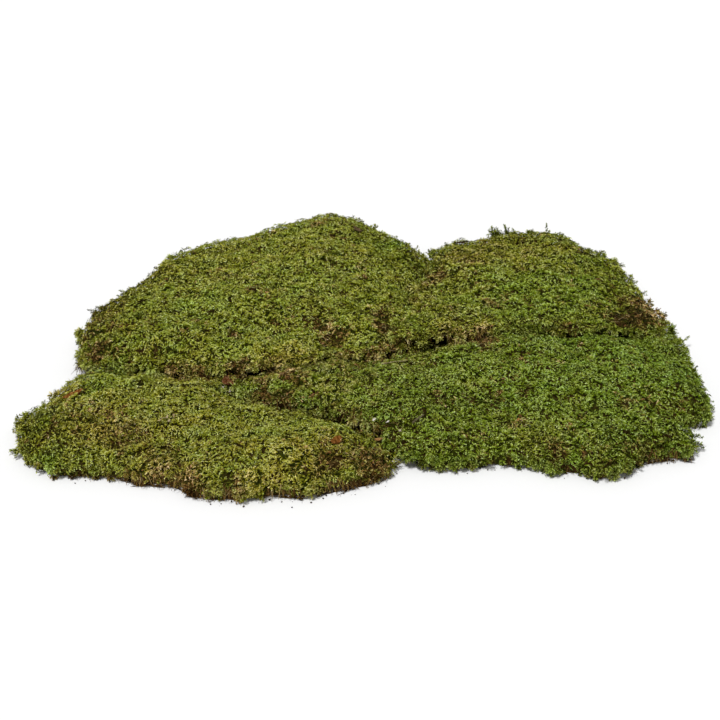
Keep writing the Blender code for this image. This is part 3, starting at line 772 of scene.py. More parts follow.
def top_headings(mat, tuft, rng):
    """The ways the shoots lie, and the ways up from the mat."""
    count = len(tuft.at)
    from_middle = (tuft.at / mat.grain - tuft.middle) / (0.5 * TUFT_SIZE)
    lying = direction(1.25 * math.pi * noise_at(tuft.at, FLOW_SIZE, 5.0 + mat.index))
    loose = direction(rng.uniform(0.0, 2.0 * math.pi, count))
    heading = 0.55 * lying + 0.25 * tuft.down + 0.45 * from_middle + 0.70 * loose
    heading = unit(heading + 0.8 * tuft.edge[:, None] * -mat.slope(mat.inside, tuft.at))
    normal = unit(np.column_stack([-mat.slope(mat.top, tuft.at), np.ones(count)]))
    return square_to(level_way(heading), normal), normal


def top_level(tuft, rng):
    """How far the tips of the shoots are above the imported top."""
    count = len(tuft.at)
    level = CUSHION_HEIGHT * tuft.cushion + TUFT_DOME * (tuft.dome - 0.6) + TUFT_UNEVEN * (tuft.dead - 0.5)
    level = level + rng.normal(0.0002, 0.00050, count) + SEAM_GROWTH * tuft.seam
    level = level - 0.0006 * tuft.brown - 0.0012 * tuft.bare + TALL_GROWTH * (tuft.vary > TALL_TUFTS)
    level = level - FOLD_DEPTH * np.clip(folded_at(tuft.at), -0.7, 1.4) - SHADOW_DEPTH * tuft.shadow
    level = level + tuft.rim_lumps
    poking = np.where(rng.random(count) < LITTER_GROWN, LITTER_GROWTH, -LITTER_PRESS)
    return level + np.where(litter_at(tuft.at), poking, 0.0)


def top_light(mat, tuft, rng):
    """How light each shoot is, from 0 to 1: painted shade between the tufts, on low cushions, in folds and
    holes, near the edges and in front of crisp laps, painted light on high cushions, ridges and the lips of
    crisp laps, with random tone and paler golden tufts.
    """
    # Painted shade between the tufts, low on the cushions, in the listed areas, folds and holes and near the
    # edges, with random tone by tuft, shoot and place
    light = 0.52 + 0.09 * tuft.cushion + 0.22 * (tuft.dome - 0.55) + 0.10 * (tuft.vary - 0.5)
    light = light - 0.28 * painted_shading_at(tuft.at) - 0.30 * tuft.bare + rng.normal(0.0, 0.30, len(tuft.at))
    light = light + 0.08 * noise_at(tuft.at, 0.026, 17.0) - 0.14 * tuft.edge
    # Painted shadow in front of crisp laps and a painted highlight on their lips; golden tufts are paler
    light = light - 0.40 * tuft.shadow + 0.12 * tuft.lip + 0.15 * tuft.golden
    return 0.5 + CONTRAST[mat.index] * (light - 0.5)


def top_shoots(shoots, mat, rng):
    """Shoots in tufts all over the open top of a mat."""
    tuft = top_tufts(mat, rng)
    add_surroundings(tuft, mat)
    at, brown, count = tuft.at, tuft.brown, len(tuft.at)
    heading, normal = top_headings(mat, tuft, rng)
    length = mat.grain * SHOOT_LENGTH * rng.uniform(0.75, 1.3, count)
    length = length * (1.0 - 0.1 * brown) * (1.0 + 0.45 * tuft.seam)
    rise = np.radians(rng.uniform(28.0, 80.0, count))
    fall = np.radians(rng.uniform(-80.0, -5.0, count)) - 0.3 * tuft.edge
    height = mat.sample(mat.top, at) + top_level(tuft, rng) - stem_lift(length, rise, fall)
    height = np.maximum(height, mat.sample(mat.bottom, at) + 2.0 * OFF_GROUND)
    shoots.add(
        root=np.column_stack([at, height]),
        heading=heading,
        up=normal,
        length=length,
        rise=rise,
        fall=fall,
        light=top_light(mat, tuft, rng),
        width=mat.grain * SHOOT_WIDTH * rng.uniform(0.75, 1.25, count),
        roll=np.radians(rng.normal(0.0, 24.0, count)),
        vary=0.45 * tuft.vary + 0.28 + 0.30 * tuft.golden + rng.normal(0.0, 0.15, count),
        # Browner in front of crisp laps: painted shadow
        brown=np.maximum(brown, 0.5 * tuft.shadow) * (1.0 + 0.35 * rng.normal(size=count)),
        warm=warm_at(at),
    )


# Round tufts and fronds at the edges


def rim_places(mat, per_metre, rng):
    """Random places along the outermost line of a mat, with the way out, the floor and the ceiling there."""
    lengths = np.linalg.norm(mat.ends[:, 1] - mat.ends[:, 0], axis=1)
    counts = np.floor(lengths * per_metre + rng.random(len(lengths))).astype(int)
    which = np.repeat(np.arange(len(counts)), counts)
    along = rng.random(len(which))[:, None]
    place = mat.ends[which, 0] * (1.0 - along) + mat.ends[which, 1] * along
    at, outward = place[:, :2], mat.outward[which]
    inner = at - RIM_INSET * outward
    return at, outward, mat.sample(mat.bottom, inner), mat.sample(mat.top, inner)


def knob_places(mat, rng):
    """The middles of the round tufts along the edges of a mat, their sizes and what they are like."""
    at, outward, floor, ceiling = rim_places(mat, RIM_HEIGHT / (mat.grain * KNOB_GAP) ** 2, rng)
    lap = mat.lapping(at) >= 0.002
    floor = np.where(lap, highest(0.0, mat.below, "own_top", at), floor)
    keep = mat.covered(at) < 0.5 * COVER_REACH
    keep &= rng.uniform(0.0, RIM_HEIGHT, len(at)) < ceiling - floor
    level = rng.uniform(0.05, 1.0, len(at))
    crisp = crisp_at(at) * lap
    keep &= level > 0.68 * stemmy_at(at)
    keep &= rng.random(len(at)) > 0.5 * crisp * (level < 0.55)
    at, outward, floor, ceiling = kept(keep, at, outward, floor, ceiling)
    lap, level, crisp = kept(keep, lap, level, crisp)
    clump = noise_at(at, 0.011, 51.0 + mat.index)
    size = mat.grain * KNOB_SIZE * rng.uniform(0.65, 1.35, len(at)) * (1.0 + 0.25 * clump)
    inset = rng.uniform(0.0026, 0.0050, len(at)) - 0.0032 * clump - rng.exponential(0.0006, len(at))
    inset = inset - 0.0014 * lap
    height = floor + 0.35 * size + level * np.maximum(ceiling - floor - 0.8 * size, 0.001)
    height = height + 0.0018 * level * (1.0 - lap) * noise_at(at, 0.007, 53.0 + mat.index)
    middle = np.column_stack([at - outward * inset[:, None], height])
    return middle, level_way(outward), size, level, clump, lap, crisp


def edge_knobs(shoots, mat, rng):
    """Round tufts of curled shoots all along the edges of a mat, which make its outline lumpy."""
    knobs = knob_places(mat, rng)
    number, size = len(knobs[0]), knobs[2]
    which = np.repeat(
        np.arange(number), np.ceil(KNOB_SHOOTS * (size / (mat.grain * KNOB_SIZE)) ** 2).astype(int))
    count = len(which)
    middle, way_out, size, level, clump, lap, crisp = kept(which, *knobs)
    heading = unit(rng.normal(0.0, 1.0, (count, 3)) + 0.9 * way_out + 0.35 * UP)
    heading = heading - way_out * np.minimum(2.0 * np.sum(heading * way_out, axis=1, keepdims=True), 0.0)
    across = np.where(np.abs(heading[:, 2:]) > 0.9, -way_out, UP)
    root = middle + 0.25 * size[:, None] * heading
    at = root[:, :2]
    low_down = smoothstep(0.70, 0.08, level + 0.15 * clump) * np.where(lap, 0.4 + 0.6 * crisp, 1.0)
    golden = golden_at(at) * rng.uniform(0.5, 1.0, number)[which]
    brown = np.clip(brown_at(at) * rng.uniform(0.4, 1.2, number)[which], 0.0, 1.0)
    # Brown low on the edges: the bare stems there, and under crisp laps partly painted shadow
    brown = np.max([brown, np.maximum(RIM_BROWN[mat.index], 0.7 * crisp) * low_down, golden], axis=0)
    knob_vary = rng.uniform(0.2, 0.8, number)[which]
    # Painted shade and light: lighter where a shoot points up and where a knob stands out, darker low on the
    # edge and on all knobs, with a painted highlight on top of crisp laps and painted shade under them, and
    # random tone by knob and shoot
    light = 0.46 + 0.14 * heading[:, 2] - 0.26 * low_down + 0.10 * clump + 0.25 * (knob_vary - 0.5)
    light = light - 0.08 - 0.28 * painted_shading_at(at) + rng.normal(0.0, 0.16, count)
    light = light + crisp * (0.22 - 0.44 * low_down) + 0.15 * golden
    shoots.add(
        root=root,
        heading=heading,
        up=square_to(across, heading),
        length=size * rng.uniform(0.95, 1.45, count),
        width=mat.grain * KNOB_WIDTH * rng.uniform(0.75, 1.2, count),
        rise=np.radians(rng.uniform(0.0, 40.0, count)),
        fall=np.radians(rng.uniform(-90.0, -15.0, count)),
        roll=np.radians(rng.normal(0.0, 35.0, count)),
        vary=knob_vary + rng.normal(0.0, 0.12, count) + 0.35 * golden,
        brown=brown + rng.normal(0.0, 0.10, count),
        warm=warm_at(at),
        light=light,
    )


def add_sprig(shoots, fibres, foot, outward, length, rise, turn, brown, rng, leafy=1.0):
    """A small bushy frond: a bent stem with leafy side shoots all around it."""
    heading, upper = aimed(outward, math.radians(turn), math.radians(rise))
    side = np.cross(heading, upper)
    steps = max(int(length / 0.0010), 4)
    share = np.linspace(0.05, 0.95, steps)
    bend, sway = rng.uniform(-0.45, 0.15) * length, rng.uniform(-0.3, 0.3) * length
    place = foot + heading * (length * share)[:, None] + (upper * bend + side * sway) * (share**2)[:, None]
    around = 2.4 * np.arange(steps) + rng.normal(0.0, 0.4, steps)
    across = side * np.cos(around)[:, None] + upper * np.sin(around)[:, None]
    lean = np.radians(rng.uniform(30.0, 70.0, steps)) * (1.0 - 0.6 * share**3)
    along, off = heading * np.cos(lean)[:, None], across * np.sin(lean)[:, None]
    count = 2 * steps
    way = np.vstack([along + off, along - off])
    shoots.add(
        root=np.vstack([place, place]),
        heading=way,
        up=unit(np.cross(np.cross(way, np.tile(heading, (count, 1))), way)),
        length=leafy * np.tile(0.0037 - 0.0012 * share, 2) * rng.uniform(0.75, 1.2, count),
        width=rng.uniform(0.0021, 0.0030, count),
        rise=np.radians(rng.uniform(0.0, 25.0, count)),
        fall=np.radians(rng.uniform(-60.0, -5.0, count)),
        roll=np.radians(rng.normal(0.0, 30.0, count)),
        vary=rng.uniform(0.2, 0.6) + rng.normal(0.0, 0.12, count),
        brown=brown + rng.normal(0.0, 0.08, count),
        warm=np.full(count, 0.4),
        # Painted shade: the fronds are drawn darker than the shoots on top
        light=rng.uniform(0.25, 0.45) + rng.normal(0.0, 0.06, count),
    )
    fibres.add(foot - 0.004 * heading, heading, upper, length + 0.004, SPRIG_STEM, bend / length, 0.4)


def listed_sprigs(shoots, fibres, mats, mat, rng):
    """The listed fronds whose place is on this mat's edge."""
    for x, y, length, rise, turn, fan in SPRIGS:
        gaps = [np.hypot(*(other.middles[:, :2] - np.array([x, y]) / 1000.0).T) for other in mats]
        if np.argmin([gap.min() for gap in gaps]) == mat.index:
            near = np.argmin(gaps[mat.index])
            out = mat.outward[near]
            foot = mat.middles[near] - SPRIG_INSET * np.append(out, 0.0)
            high = mat.sample(mat.top, foot[None, :2])[0]
            foot[2] = high - SPRIG_INSET if rise > 15.0 else 0.55 * high
            leafy, spread_out = 1.0, min(fan - 1, SPRIG_SPREAD)
            if fan >= BUSH_FRONDS:
                leafy, spread_out = BUSH_LEAFINESS, BUSH_SPREAD
            for _ in range(fan):
                reach = length / 1000.0 * rng.uniform(0.6, 1.0)
                lean = rise + rng.uniform(-8.0, 8.0) * spread_out
                swing = turn + rng.uniform(-14.0, 14.0) * spread_out
                add_sprig(shoots, fibres, foot, out, reach, lean, swing, SPRIG_BROWN, rng, leafy)




def small_sprigs(shoots, fibres, mat, rng):
    """Smaller fronds all along the free edges of a mat."""
    at, outward, floor, ceiling = rim_places(mat, 1.0 / SPRIG_SPACING, rng)
    for at, out, low, high in zip(*kept(mat.covered(at) < 0.0, at, outward, floor, ceiling)):
        level = rng.uniform(0.35, 0.95)
        foot = np.append(at - SPRIG_INSET * out, low + level * (high - low))
        length = rng.uniform(0.0030, 0.0070)
        rise = rng.uniform(-10.0, 60.0) * level
        brown = max(brown_at(at[None])[0], rng.uniform(0.0, 0.5))
        add_sprig(shoots, fibres, foot, out, length, rise, rng.uniform(-50.0, 50.0), brown, rng)


# Stems, crumbs and bits of leaf


def rim_fibres(fibres, mat, rng):
    """Brown stems that hang out under the free edges, thickest along the front left."""
    at, outward, floor, ceiling = rim_places(mat, RIM_STEMS, rng)
    worn = np.maximum(0.25 + brown_at(at), stemmy_at(at)) + 0.5 * (mat.lapping(at) > 0.0)
    keep = (mat.covered(at) < 0.0) & (rng.random(len(at)) < worn)
    for at, out, low, high in zip(*kept(keep, at, outward, floor, ceiling)):
        heading, upper = aimed(out, rng.normal(0.0, 0.7), np.radians(rng.uniform(-60.0, 20.0)))
        foot = np.append(at - rng.uniform(0.001, 0.005) * out, low + rng.uniform(0.15, 0.75) * (high - low))
        length = min(rng.uniform(0.003, 0.009), 0.9 * foot[2] / max(-heading[2], 0.05))
        radius, bend = rng.uniform(0.00012, 0.00026), rng.uniform(-0.3, 0.2)
        fibres.add(foot, heading, upper, length, radius, bend, rng.random())


def stem_fringe(fibres, mat, rng):
    """Stems that hang down side by side where the low parts of an edge are bare."""
    at, outward, floor, ceiling = rim_places(mat, FRINGE_STEMS, rng)
    keep = (mat.covered(at) < 0.0) & (rng.random(len(at)) < 0.9 * stemmy_at(at) - 0.1)
    for at, out, low, high in zip(*kept(keep, at, outward, floor, ceiling)):
        heading, upper = aimed(out, rng.normal(0.0, 0.9), np.radians(rng.uniform(-86.0, -50.0)))
        foot = np.append(at - rng.uniform(0.0008, 0.0030) * out, low + rng.uniform(0.50, 0.90) * (high - low))
        length = min(rng.uniform(0.006, 0.013), 0.86 * foot[2] / max(-heading[2], 0.05))
        radius, bend = rng.uniform(0.00022, 0.00042), rng.uniform(-0.2, 0.2)
        fibres.add(foot, heading, upper, length, radius, bend, rng.uniform(0.3, 0.97) ** (1.0 + rng.random()))
        if rng.random() < 0.45:
            turn = rng.choice((-1.0, 1.0)) * (0.5 * math.pi + rng.normal(0.0, 0.15))
            heading, upper = aimed(out, turn, np.radians(rng.normal(0.0, 5.0)))
            foot = np.append(at - rng.uniform(0.0002, 0.0022) * out, low + rng.uniform(0.0005, 0.0028))
            length, radius = rng.uniform(0.004, 0.010), rng.uniform(0.00030, 0.00055)
            fibres.add(foot, heading, upper, length, radius, 0.0, rng.uniform(0.0, 0.12))


def top_fibres(fibres, mat, rng):
    """Thin brown and pale stems that lie among the shoots, most of them in the worn patches."""
    at = top_places(mat, rng)
    at = at[rng.random(len(at)) < 0.004 + 0.08 * brown_at(at) + 0.2 * bare_at(at)]
    height = mat.sample(mat.top, at) - rng.uniform(0.0005, 0.003, len(at))
    for foot in np.column_stack([at, height]):
        turn, rise = rng.uniform(0.0, 2.0 * math.pi), np.radians(rng.uniform(0.0, 35.0))
        heading, upper = aimed((1.0, 0.0), turn, rise)
        length, radius = rng.uniform(0.003, 0.009), rng.uniform(0.00012, 0.00026)
        fibres.add(foot, heading, upper, length, radius, rng.uniform(-0.45, 0.1), rng.random())


def fleck_mesh(name, mats, rng):
    """Small crumbs of dead leaf that lie among the shoots, and the listed ones."""
    middles, sizes, vary = [], [], []
    for mat in mats:
        at = top_places(mat, rng)
        at = at[rng.random(len(at)) < 0.0030 + 0.030 * brown_at(at)]
        middles.append(np.column_stack([at, mat.sample(mat.top, at) + rng.uniform(-0.0014, 0.0004, len(at))]))
        sizes.append(rng.uniform(0.0006, 0.0015, len(at)))
        vary.append(rng.uniform(0.0, 0.9, len(at)) ** 1.3)
    chosen = np.array(FLECKS)
    at = chosen[:, :2] / 1000.0
    middles.append(np.column_stack([at, highest(0.0, mats, "own_top", at) + FLECK_RISE]))
    middles = np.concatenate(middles)
    sizes = np.concatenate([*sizes, chosen[:, 2] / 1000.0])
    vary = np.concatenate([*vary, chosen[:, 3]])
    count = len(middles)
    flat = direction(rng.uniform(0.0, 2.0 * math.pi, count))
    along, upper = raised(flat, np.radians(rng.uniform(-20.0, 40.0, count)))
    side = np.cross(along, upper)
    outline = FLECK_SHAPE[None] * rng.uniform(0.7, 1.3, (count, 5, 2))
    curl = rng.uniform(-0.3, 0.6, (count, 5, 1))
    shape = along[:, None] * outline[..., :1] + side[:, None] * outline[..., 1:] + upper[:, None] * curl
    points = middles[:, None] + sizes[:, None, None] * shape
    return joined_mesh(name, points, FLECK_TRIANGLES, 0.5 + 0.4 * FLECK_SHAPE, vary=vary[:, None])


def fallen_crumbs(mats, rng):
    """Places and sizes of the soil crumbs that fell from the free edges, most of them at the front."""
    places = []
    for mat in mats:
        at, outward, floor, _ = rim_places(mat, RIM_CRUMBS, rng)
        loose = 0.3 + 1.5 * smoothstep(-0.18, -0.09, at[:, 0]) if mat.name == "mat_front_left" else 0.5
        front = np.where(outward[:, 1] < -0.3, 1.0, 0.22) * loose
        keep = (mat.covered(at) < 0.0) & (floor < 0.002) & (rng.uniform(0.0, 1.6, len(at)) < front)
        away = rng.exponential(0.0026, len(at)).clip(0.0, 0.012)
        places.append((at + outward * (away + 0.0006)[:, None])[keep])
    places = level_way(np.concatenate(places))
    return places, rng.uniform(0.00025, 0.0010, len(places)) * rng.uniform(0.6, 1.0, len(places))


def crumb_mesh(name, mats, rng):
    """Lumps of soil on the ground beside the edges."""
    places, sizes = fallen_crumbs(mats, rng)
    ball = bmesh.new()
    bmesh.ops.create_icosphere(ball, subdivisions=1, radius=1.0)
    shape = np.array([corner.co[:] for corner in ball.verts])
    triangles = np.array([[corner.index for corner in face.verts] for face in ball.faces])
    ball.free()
    count, corners = len(places), len(shape)
    points = shape[None] * rng.uniform(0.6, 1.25, (count, corners, 1)) * rng.uniform(0.7, 1.2, (count, 1, 3))
    points *= sizes[:, None, None]
    points[..., 2] -= points[..., 2].min(axis=1)[:, None]
    points += places[:, None]
    unwrapped = np.column_stack([0.5 + 0.42 * shape[:, 0] + 0.05 * shape[:, 2], 0.5 + 0.42 * shape[:, 1]])
    return joined_mesh(name, points, triangles, unwrapped, vary=rng.random(count)[:, None])


# Materials


def add_node(tree, kind, inputs=(), **settings):
    """A new node with its inputs set, or linked where a socket is given."""
    node = tree.nodes.new("ShaderNode" + kind)
    for key, value in settings.items():
        setattr(node, key, value)
    for key, value in dict(inputs).items():
        if isinstance(value, bpy.types.NodeSocket):
            tree.links.new(value, node.inputs[key])
        else:
            node.inputs[key].default_value = value
    return node


class Nodes:
    """Short ways to add nodes to one material."""

    def __init__(self, name, roughness, gloss):
        self.material = bpy.data.materials.new(name)
        self.material.use_nodes = True
        self.tree = self.material.node_tree
        self.shader = self.tree.nodes["Principled BSDF"]
        self.shader.inputs["Roughness"].default_value = roughness
        self.shader.inputs["Specular IOR Level"].default_value = gloss
        self.coordinates = add_node(self.tree, "TexCoord").outputs["Object"]

    def attribute(self, name):
        return add_node(self.tree, "Attribute", attribute_name=name).outputs["Fac"]

    def noise(self, scale, detail=3.0, roughness=0.55, stretch=(1.0, 1.0, 1.0)):
        place = add_node(self.tree, "Mapping", {"Vector": self.coordinates, "Scale": stretch})
        inputs = {"Vector": place.outputs["Vector"], "Scale": scale, "Detail": detail, "Roughness": roughness}
        return add_node(self.tree, "TexNoise", inputs).outputs["Fac"]

    def ramp(self, value, *stops):
        """The colour that belongs to a value, between stops of (value, red, green, blue)."""
        node = add_node(self.tree, "ValToRGB", {"Fac": value})
        elements = node.color_ramp.elements
        elements.remove(elements[1])
        elements[0].position = stops[0][0]
        elements[0].color = (*stops[0][1:], 1.0)
        for position, *colour in stops[1:]:
            elements.new(position).color = (*colour, 1.0)
        return node.outputs["Color"]

    def spread(self, value, low, high, most=1.0):
        """A number that goes from 0 to the most as the value goes from low to high."""
        inputs = {"Value": value, "From Min": low, "From Max": high, "To Min": 0.0, "To Max": most}
        return add_node(self.tree, "MapRange", inputs).outputs["Result"]

    def mix(self, factor, first, second, blend="MIX"):
        inputs = {0: factor, 6: first, 7: second}
        return add_node(self.tree, "Mix", inputs, data_type="RGBA", blend_type=blend).outputs[2]

    def tinted(self, colour, *tints):
        for tint in tints:
            colour = self.mix(1.0, colour, tint, "MULTIPLY")
        return colour

    def bump(self, height, distance):
        node = add_node(self.tree, "Bump", {"Height": height, "Distance": distance, "Strength": 1.0})
        self.tree.links.new(node.outputs["Normal"], self.shader.inputs["Normal"])

    def finish(self, colour):
        self.tree.links.new(colour, self.shader.inputs["Base Color"])
        return self.material


def moss_material(name, deep, leaf, bright):
    """Green shoots: dark at the root (partly painted shade deep among the shoots), bright at the tip, with
    yellower and browner areas; all multiplied by the painted shade and light of the light attribute.
    """
    nodes = Nodes(name, 0.65, 0.01)
    tip, vary, brown, warm, light = map(nodes.attribute, ("tip", "vary", "brown", "warm", "light"))
    green = nodes.ramp(tip, (0.0, *deep), (0.40, *leaf), (1.0, *bright))
    areas = nodes.ramp(warm, (0.0, 0.82, 1.00, 0.84), (0.5, *WHITE), (1.0, 1.22, 1.00, 1.04))
    patchy = nodes.ramp(
        nodes.noise(105.0, 2.0), (0.36, 0.94, 1.00, 0.90), (0.50, *WHITE), (0.66, 1.08, 1.02, 1.05))
    own = nodes.ramp(vary, (0.0, 0.44, 0.47, 0.10), (0.5, 1.04, 1.08, 0.84), (1.0, 1.35, 1.38, 1.90))
    dead = nodes.ramp(
        vary, (0.14, 0.010, 0.004, 0.001), (0.38, 0.100, 0.047, 0.011), (0.60, 0.220, 0.120, 0.034),
        (0.78, 0.370, 0.232, 0.072), (0.95, 0.56, 0.42, 0.16))
    dead = nodes.tinted(dead, nodes.ramp(tip, (0.0, 0.30, 0.26, 0.20), (0.5, *WHITE)))
    colour = nodes.mix(nodes.spread(brown, 0.15, 0.75), nodes.tinted(green, areas, patchy, own), dead)
    # Painted shade and light: near black at 0, paler and bluer at 1, where the pale top is a painted sheen on
    # the lit tips
    shade = nodes.ramp(light, (0.0, 0.03, 0.032, 0.0), (0.5, 1.08, 1.08, 0.94), (1.0, 1.46, 1.44, 2.10))
    return nodes.finish(nodes.tinted(colour, shade))


def ground_material():
    """Matted brown stems and soil under the shoots, with some dull green."""
    nodes = Nodes("moss_stems_and_soil", 0.95, 0.05)
    fine = nodes.noise(420.0, 6.0, 0.65, (1.0, 1.0, 0.5))
    soil = nodes.ramp(
        fine, (0.30, 0.008, 0.004, 0.0005), (0.50, 0.036, 0.020, 0.004), (0.72, 0.110, 0.068, 0.020))
    olive = nodes.ramp(fine, (0.30, 0.006, 0.008, 0.0005), (0.70, 0.044, 0.052, 0.004))
    nodes.bump(fine, 0.0015)
    return nodes.finish(nodes.mix(nodes.spread(nodes.noise(60.0), 0.40, 0.56), soil, olive))


def varied_material(name, roughness, *stops):
    """Small loose things, each with its own shade of the given colours."""
    nodes = Nodes(name, roughness, 0.05)
    shade = nodes.ramp(nodes.noise(700.0), (0.3, 0.6, 0.58, 0.55), (0.7, 1.15, 1.12, 1.1))
    return nodes.finish(nodes.tinted(nodes.ramp(nodes.attribute("vary"), *stops), shade))


def litter_material(name, dark, middle, pale):
    """Dead leaf, bark or twig, with streaks and spots."""
    nodes = Nodes(name, 0.7, 0.04)
    streaks = nodes.noise(900.0, 4.0, 0.6, (1.0, 0.25, 1.0))
    colour = nodes.ramp(streaks, (0.3, *dark), (0.5, *middle), (0.72, *pale))
    nodes.bump(streaks, 0.0003)
    return nodes.finish(nodes.mix(nodes.spread(nodes.noise(320.0), 0.52, 0.66, 0.8), colour, (*dark, 1.0)))


# Pieces


def add_object(name, data):
    item = bpy.data.objects.new(name, data)
    bpy.context.scene.collection.objects.link(item)
    return item


def add_piece(name, mesh, material, node=None):
    mesh.materials.clear()
    mesh.materials.append(material)
    piece = add_object(name, mesh)
    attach(piece, "root")
    if node:
        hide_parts(node)


def even_mesh(name):
    """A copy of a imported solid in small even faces."""
    raw = bpy.data.meshes.new("raw")
    solid = welded(name)
    solid.to_mesh(raw)
    solid.free()
    helper = add_object("raw", raw)
    remesh = helper.modifiers.new("even", "REMESH")
    remesh.mode = "VOXEL"
    remesh.voxel_size = BASE_VOXEL
    bpy.context.view_layer.update()
    evaluated = helper.evaluated_get(bpy.context.evaluated_depsgraph_get())
    mesh = bpy.data.meshes.new_from_object(evaluated)
    bpy.data.objects.remove(helper)
    bpy.data.meshes.remove(raw)
    return mesh


def corner_vectors(mesh, key):
    values = np.zeros(len(mesh.vertices) * 3)
    mesh.vertices.foreach_get(key, values)
    return values.reshape(-1, 3)


def base_mesh(mat):
    """The mat without its shoots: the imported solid, drawn in under their tips and roughened."""
    mesh = even_mesh(mat.name)
    places, normals = corner_vectors(mesh, "co"), corner_vectors(mesh, "normal")
    inset = BASE_INSET + 0.0010 * noise_at(places[:, :2], 0.005, 33.0)
    at = places[:, :2] - inset[:, None] * normals[:, :2]
    bottom = mat.sample(mat.bottom, at)
    thickness = np.maximum(mat.sample(mat.top, at) - bottom, LEAST_THICKNESS)
    rough = noise_at(at, 0.006, 31.0) + 0.6 * noise_at(at, 0.0028, 37.0)
    depth = np.minimum((BASE_DEPTH + 0.0005 * rough) / thickness, 0.55)
    level = np.clip((places[:, 2] - bottom) / thickness, 0.0, 1.0)
    places = np.column_stack([at, bottom + level * (1.0 - depth) * thickness])
    mesh.vertices.foreach_set("co", places.ravel())
    mesh.update()
    return mesh


def all_shoots(mats, mat, fibres, rng):
    """All the shoots of a mat, as arrays in order from left to right; their stems go to the fibres."""
    shoots = Shoots()
    top_shoots(shoots, mat, rng)
    edge_knobs(shoots, mat, rng)
    listed_sprigs(shoots, fibres, mats, mat, rng)
    small_sprigs(shoots, fibres, mat, rng)
    rim_fibres(fibres, mat, rng)
    stem_fringe(fibres, mat, rng)
    top_fibres(fibres, mat, rng)
    arrays = shoots.arrays()
    order = np.argsort(arrays["root"][:, 0], kind="stable")
    return {key: values[order] for key, values in arrays.items()}


def add_mats(mats):
    """Each mat's base and its shoots, and the thin stems of all of them."""
    ground = ground_material()
    greens = [moss_material(name, *colours) for name, colours in GREENS.items()]
    fibres = Fibres()
    for mat, green in zip(mats, greens):
        rng = np.random.default_rng(100 + mat.index)
        add_piece(mat.name + "_base", base_mesh(mat), ground, mat.name)
        shoots = all_shoots(mats, mat, fibres, rng)
        count = len(shoots["root"])
        pieces = math.ceil(count / SHOOTS_PER_PIECE)
        for number, chosen in enumerate(np.array_split(np.arange(count), pieces), 1):
            part = {key: values[chosen] for key, values in shoots.items()}
            name = f"{mat.name}_shoots_{number}"
            add_piece(name, shoot_mesh(name, part, rng), green)
    brown = varied_material(
        "thin_stems", 0.7, (0.0, 0.022, 0.010, 0.002), (0.5, 0.130, 0.070, 0.018),
        (0.85, 0.300, 0.205, 0.062), (1.0, 0.480, 0.400, 0.220))
    add_piece("thin_stems", fibres.mesh("thin_stems"), brown)


def add_crumbs(mats):
    """Crumbs of leaf among the shoots, and crumbs of soil on the ground."""
    rng = np.random.default_rng(300)
    leaf = varied_material(
        "leaf_crumbs", 0.7, (0.0, 0.030, 0.016, 0.008), (0.40, 0.130, 0.055, 0.022),
        (0.65, 0.320, 0.150, 0.045), (0.80, 0.400, 0.310, 0.160), (1.0, 0.640, 0.620, 0.560))
    add_piece("leaf_crumbs", fleck_mesh("leaf_crumbs", mats, rng), leaf)
    soil = varied_material("soil_crumbs", 0.95, (0.0, 0.010, 0.007, 0.004), (1.0, 0.060, 0.040, 0.022))
    add_piece("soil_crumbs", crumb_mesh("soil_crumbs", mats, rng), soil)


def litter_mesh(name, cuts, scale, uneven):
    """A packed bit of litter in finer faces, with ripples and a torn outline."""
    solid = welded(name)
    bmesh.ops.subdivide_edges(solid, edges=solid.edges, cuts=cuts, use_grid_fill=True)
    bmesh.ops.triangulate(solid, faces=solid.faces)
    for corner in solid.verts:
        place = corner.co.copy()
        corner.co += uneven * noise.noise_vector(place * scale)
        corner.co += 0.5 * uneven * noise.noise_vector(place * 3.0 * scale)
    mesh = bpy.data.meshes.new(name + "_detail")
    solid.to_mesh(mesh)
    solid.free()
    return mesh


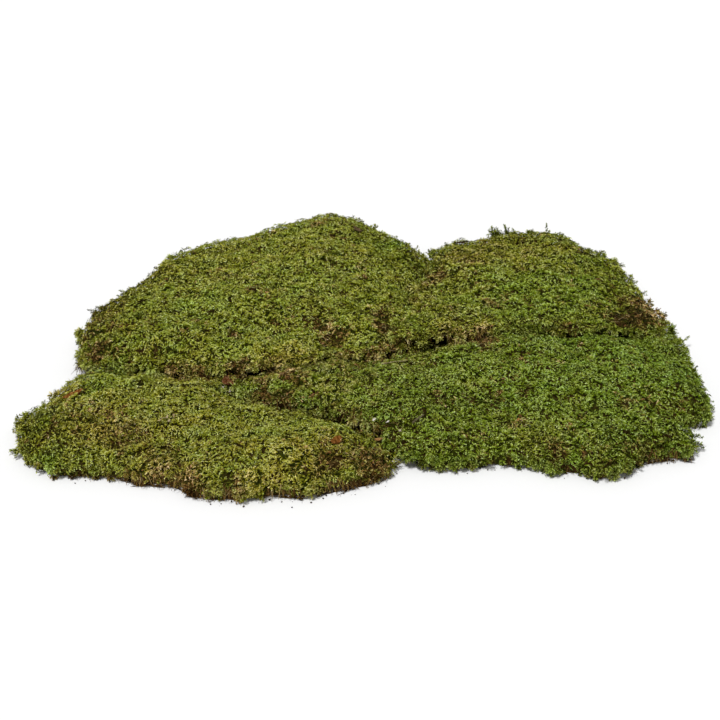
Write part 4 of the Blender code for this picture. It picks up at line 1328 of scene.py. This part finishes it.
def add_litter():
    """The bits of leaf, twig and bark on top of the mats."""
    noise.seed_set(LITTER_SEED)
    finishes = {name: litter_material(name, *colours) for name, colours in FINISHES.items()}
    for name, (slot, finish, cuts, scale, uneven) in LITTER.items():
        add_piece(name + "_detail", litter_mesh(name, cuts, scale, uneven), finishes[finish], name)


# Setting


def add_floor():
    mesh = bpy.data.meshes.new("floor")
    corners = [(x * FLOOR_REACH, y * FLOOR_REACH, 0.0) for x, y in ((-1, -1), (1, -1), (1, 1), (-1, 1))]
    mesh.from_pydata(corners, [], [(0, 1, 2, 3)])
    nodes = Nodes("pale_floor", 0.9, 0.1)
    colour = nodes.ramp(nodes.noise(6.0, 2.0), (0.0, 0.88, 0.88, 0.88), (1.0, 0.90, 0.90, 0.90))
    mesh.materials.append(nodes.finish(colour))
    floor = add_object("floor", mesh)


def studio_world():
    """White all around at the height of the horizon, and softer overhead."""
    world = bpy.data.worlds.new("studio")
    world.use_nodes = True
    tree = world.node_tree
    way = add_node(tree, "TexCoord").outputs["Generated"]
    height = add_node(tree, "SeparateXYZ", {"Vector": way}).outputs["Z"]
    ends = {"From Min": 0.10, "From Max": 0.40, "To Min": 1.02, "To Max": 0.32}
    fade = add_node(tree, "MapRange", {"Value": height, **ends})
    tree.links.new(fade.outputs["Result"], tree.nodes["Background"].inputs["Strength"])
    tree.nodes["Background"].inputs["Color"].default_value = (*WHITE, 1.0)
    return world


def add_sun():
    sun = bpy.data.lights.new("soft_key", "SUN")
    sun.energy = 2.9
    sun.angle = math.radians(12.0)
    key = add_object("soft_key", sun)
    key.rotation_euler = Vector((0.35, 0.45, -1.0)).to_track_quat("-Z", "Y").to_euler()


def add_camera():
    camera_data = bpy.data.cameras.new("photo_camera")
    camera_data.lens = CAMERA_LENS
    camera = add_object("photo_camera", camera_data)
    camera.location = CAMERA_PLACE
    camera.rotation_euler = (math.radians(90.0 - CAMERA_PITCH), 0.0, 0.0)
    bpy.context.scene.camera = camera


add_floor()
add_sun()
add_camera()
bpy.context.scene.world = studio_world()
bpy.context.scene.view_settings.view_transform = "Standard"
packed_mats = read_mats()
add_mats(packed_mats)
add_crumbs(packed_mats)
add_litter()
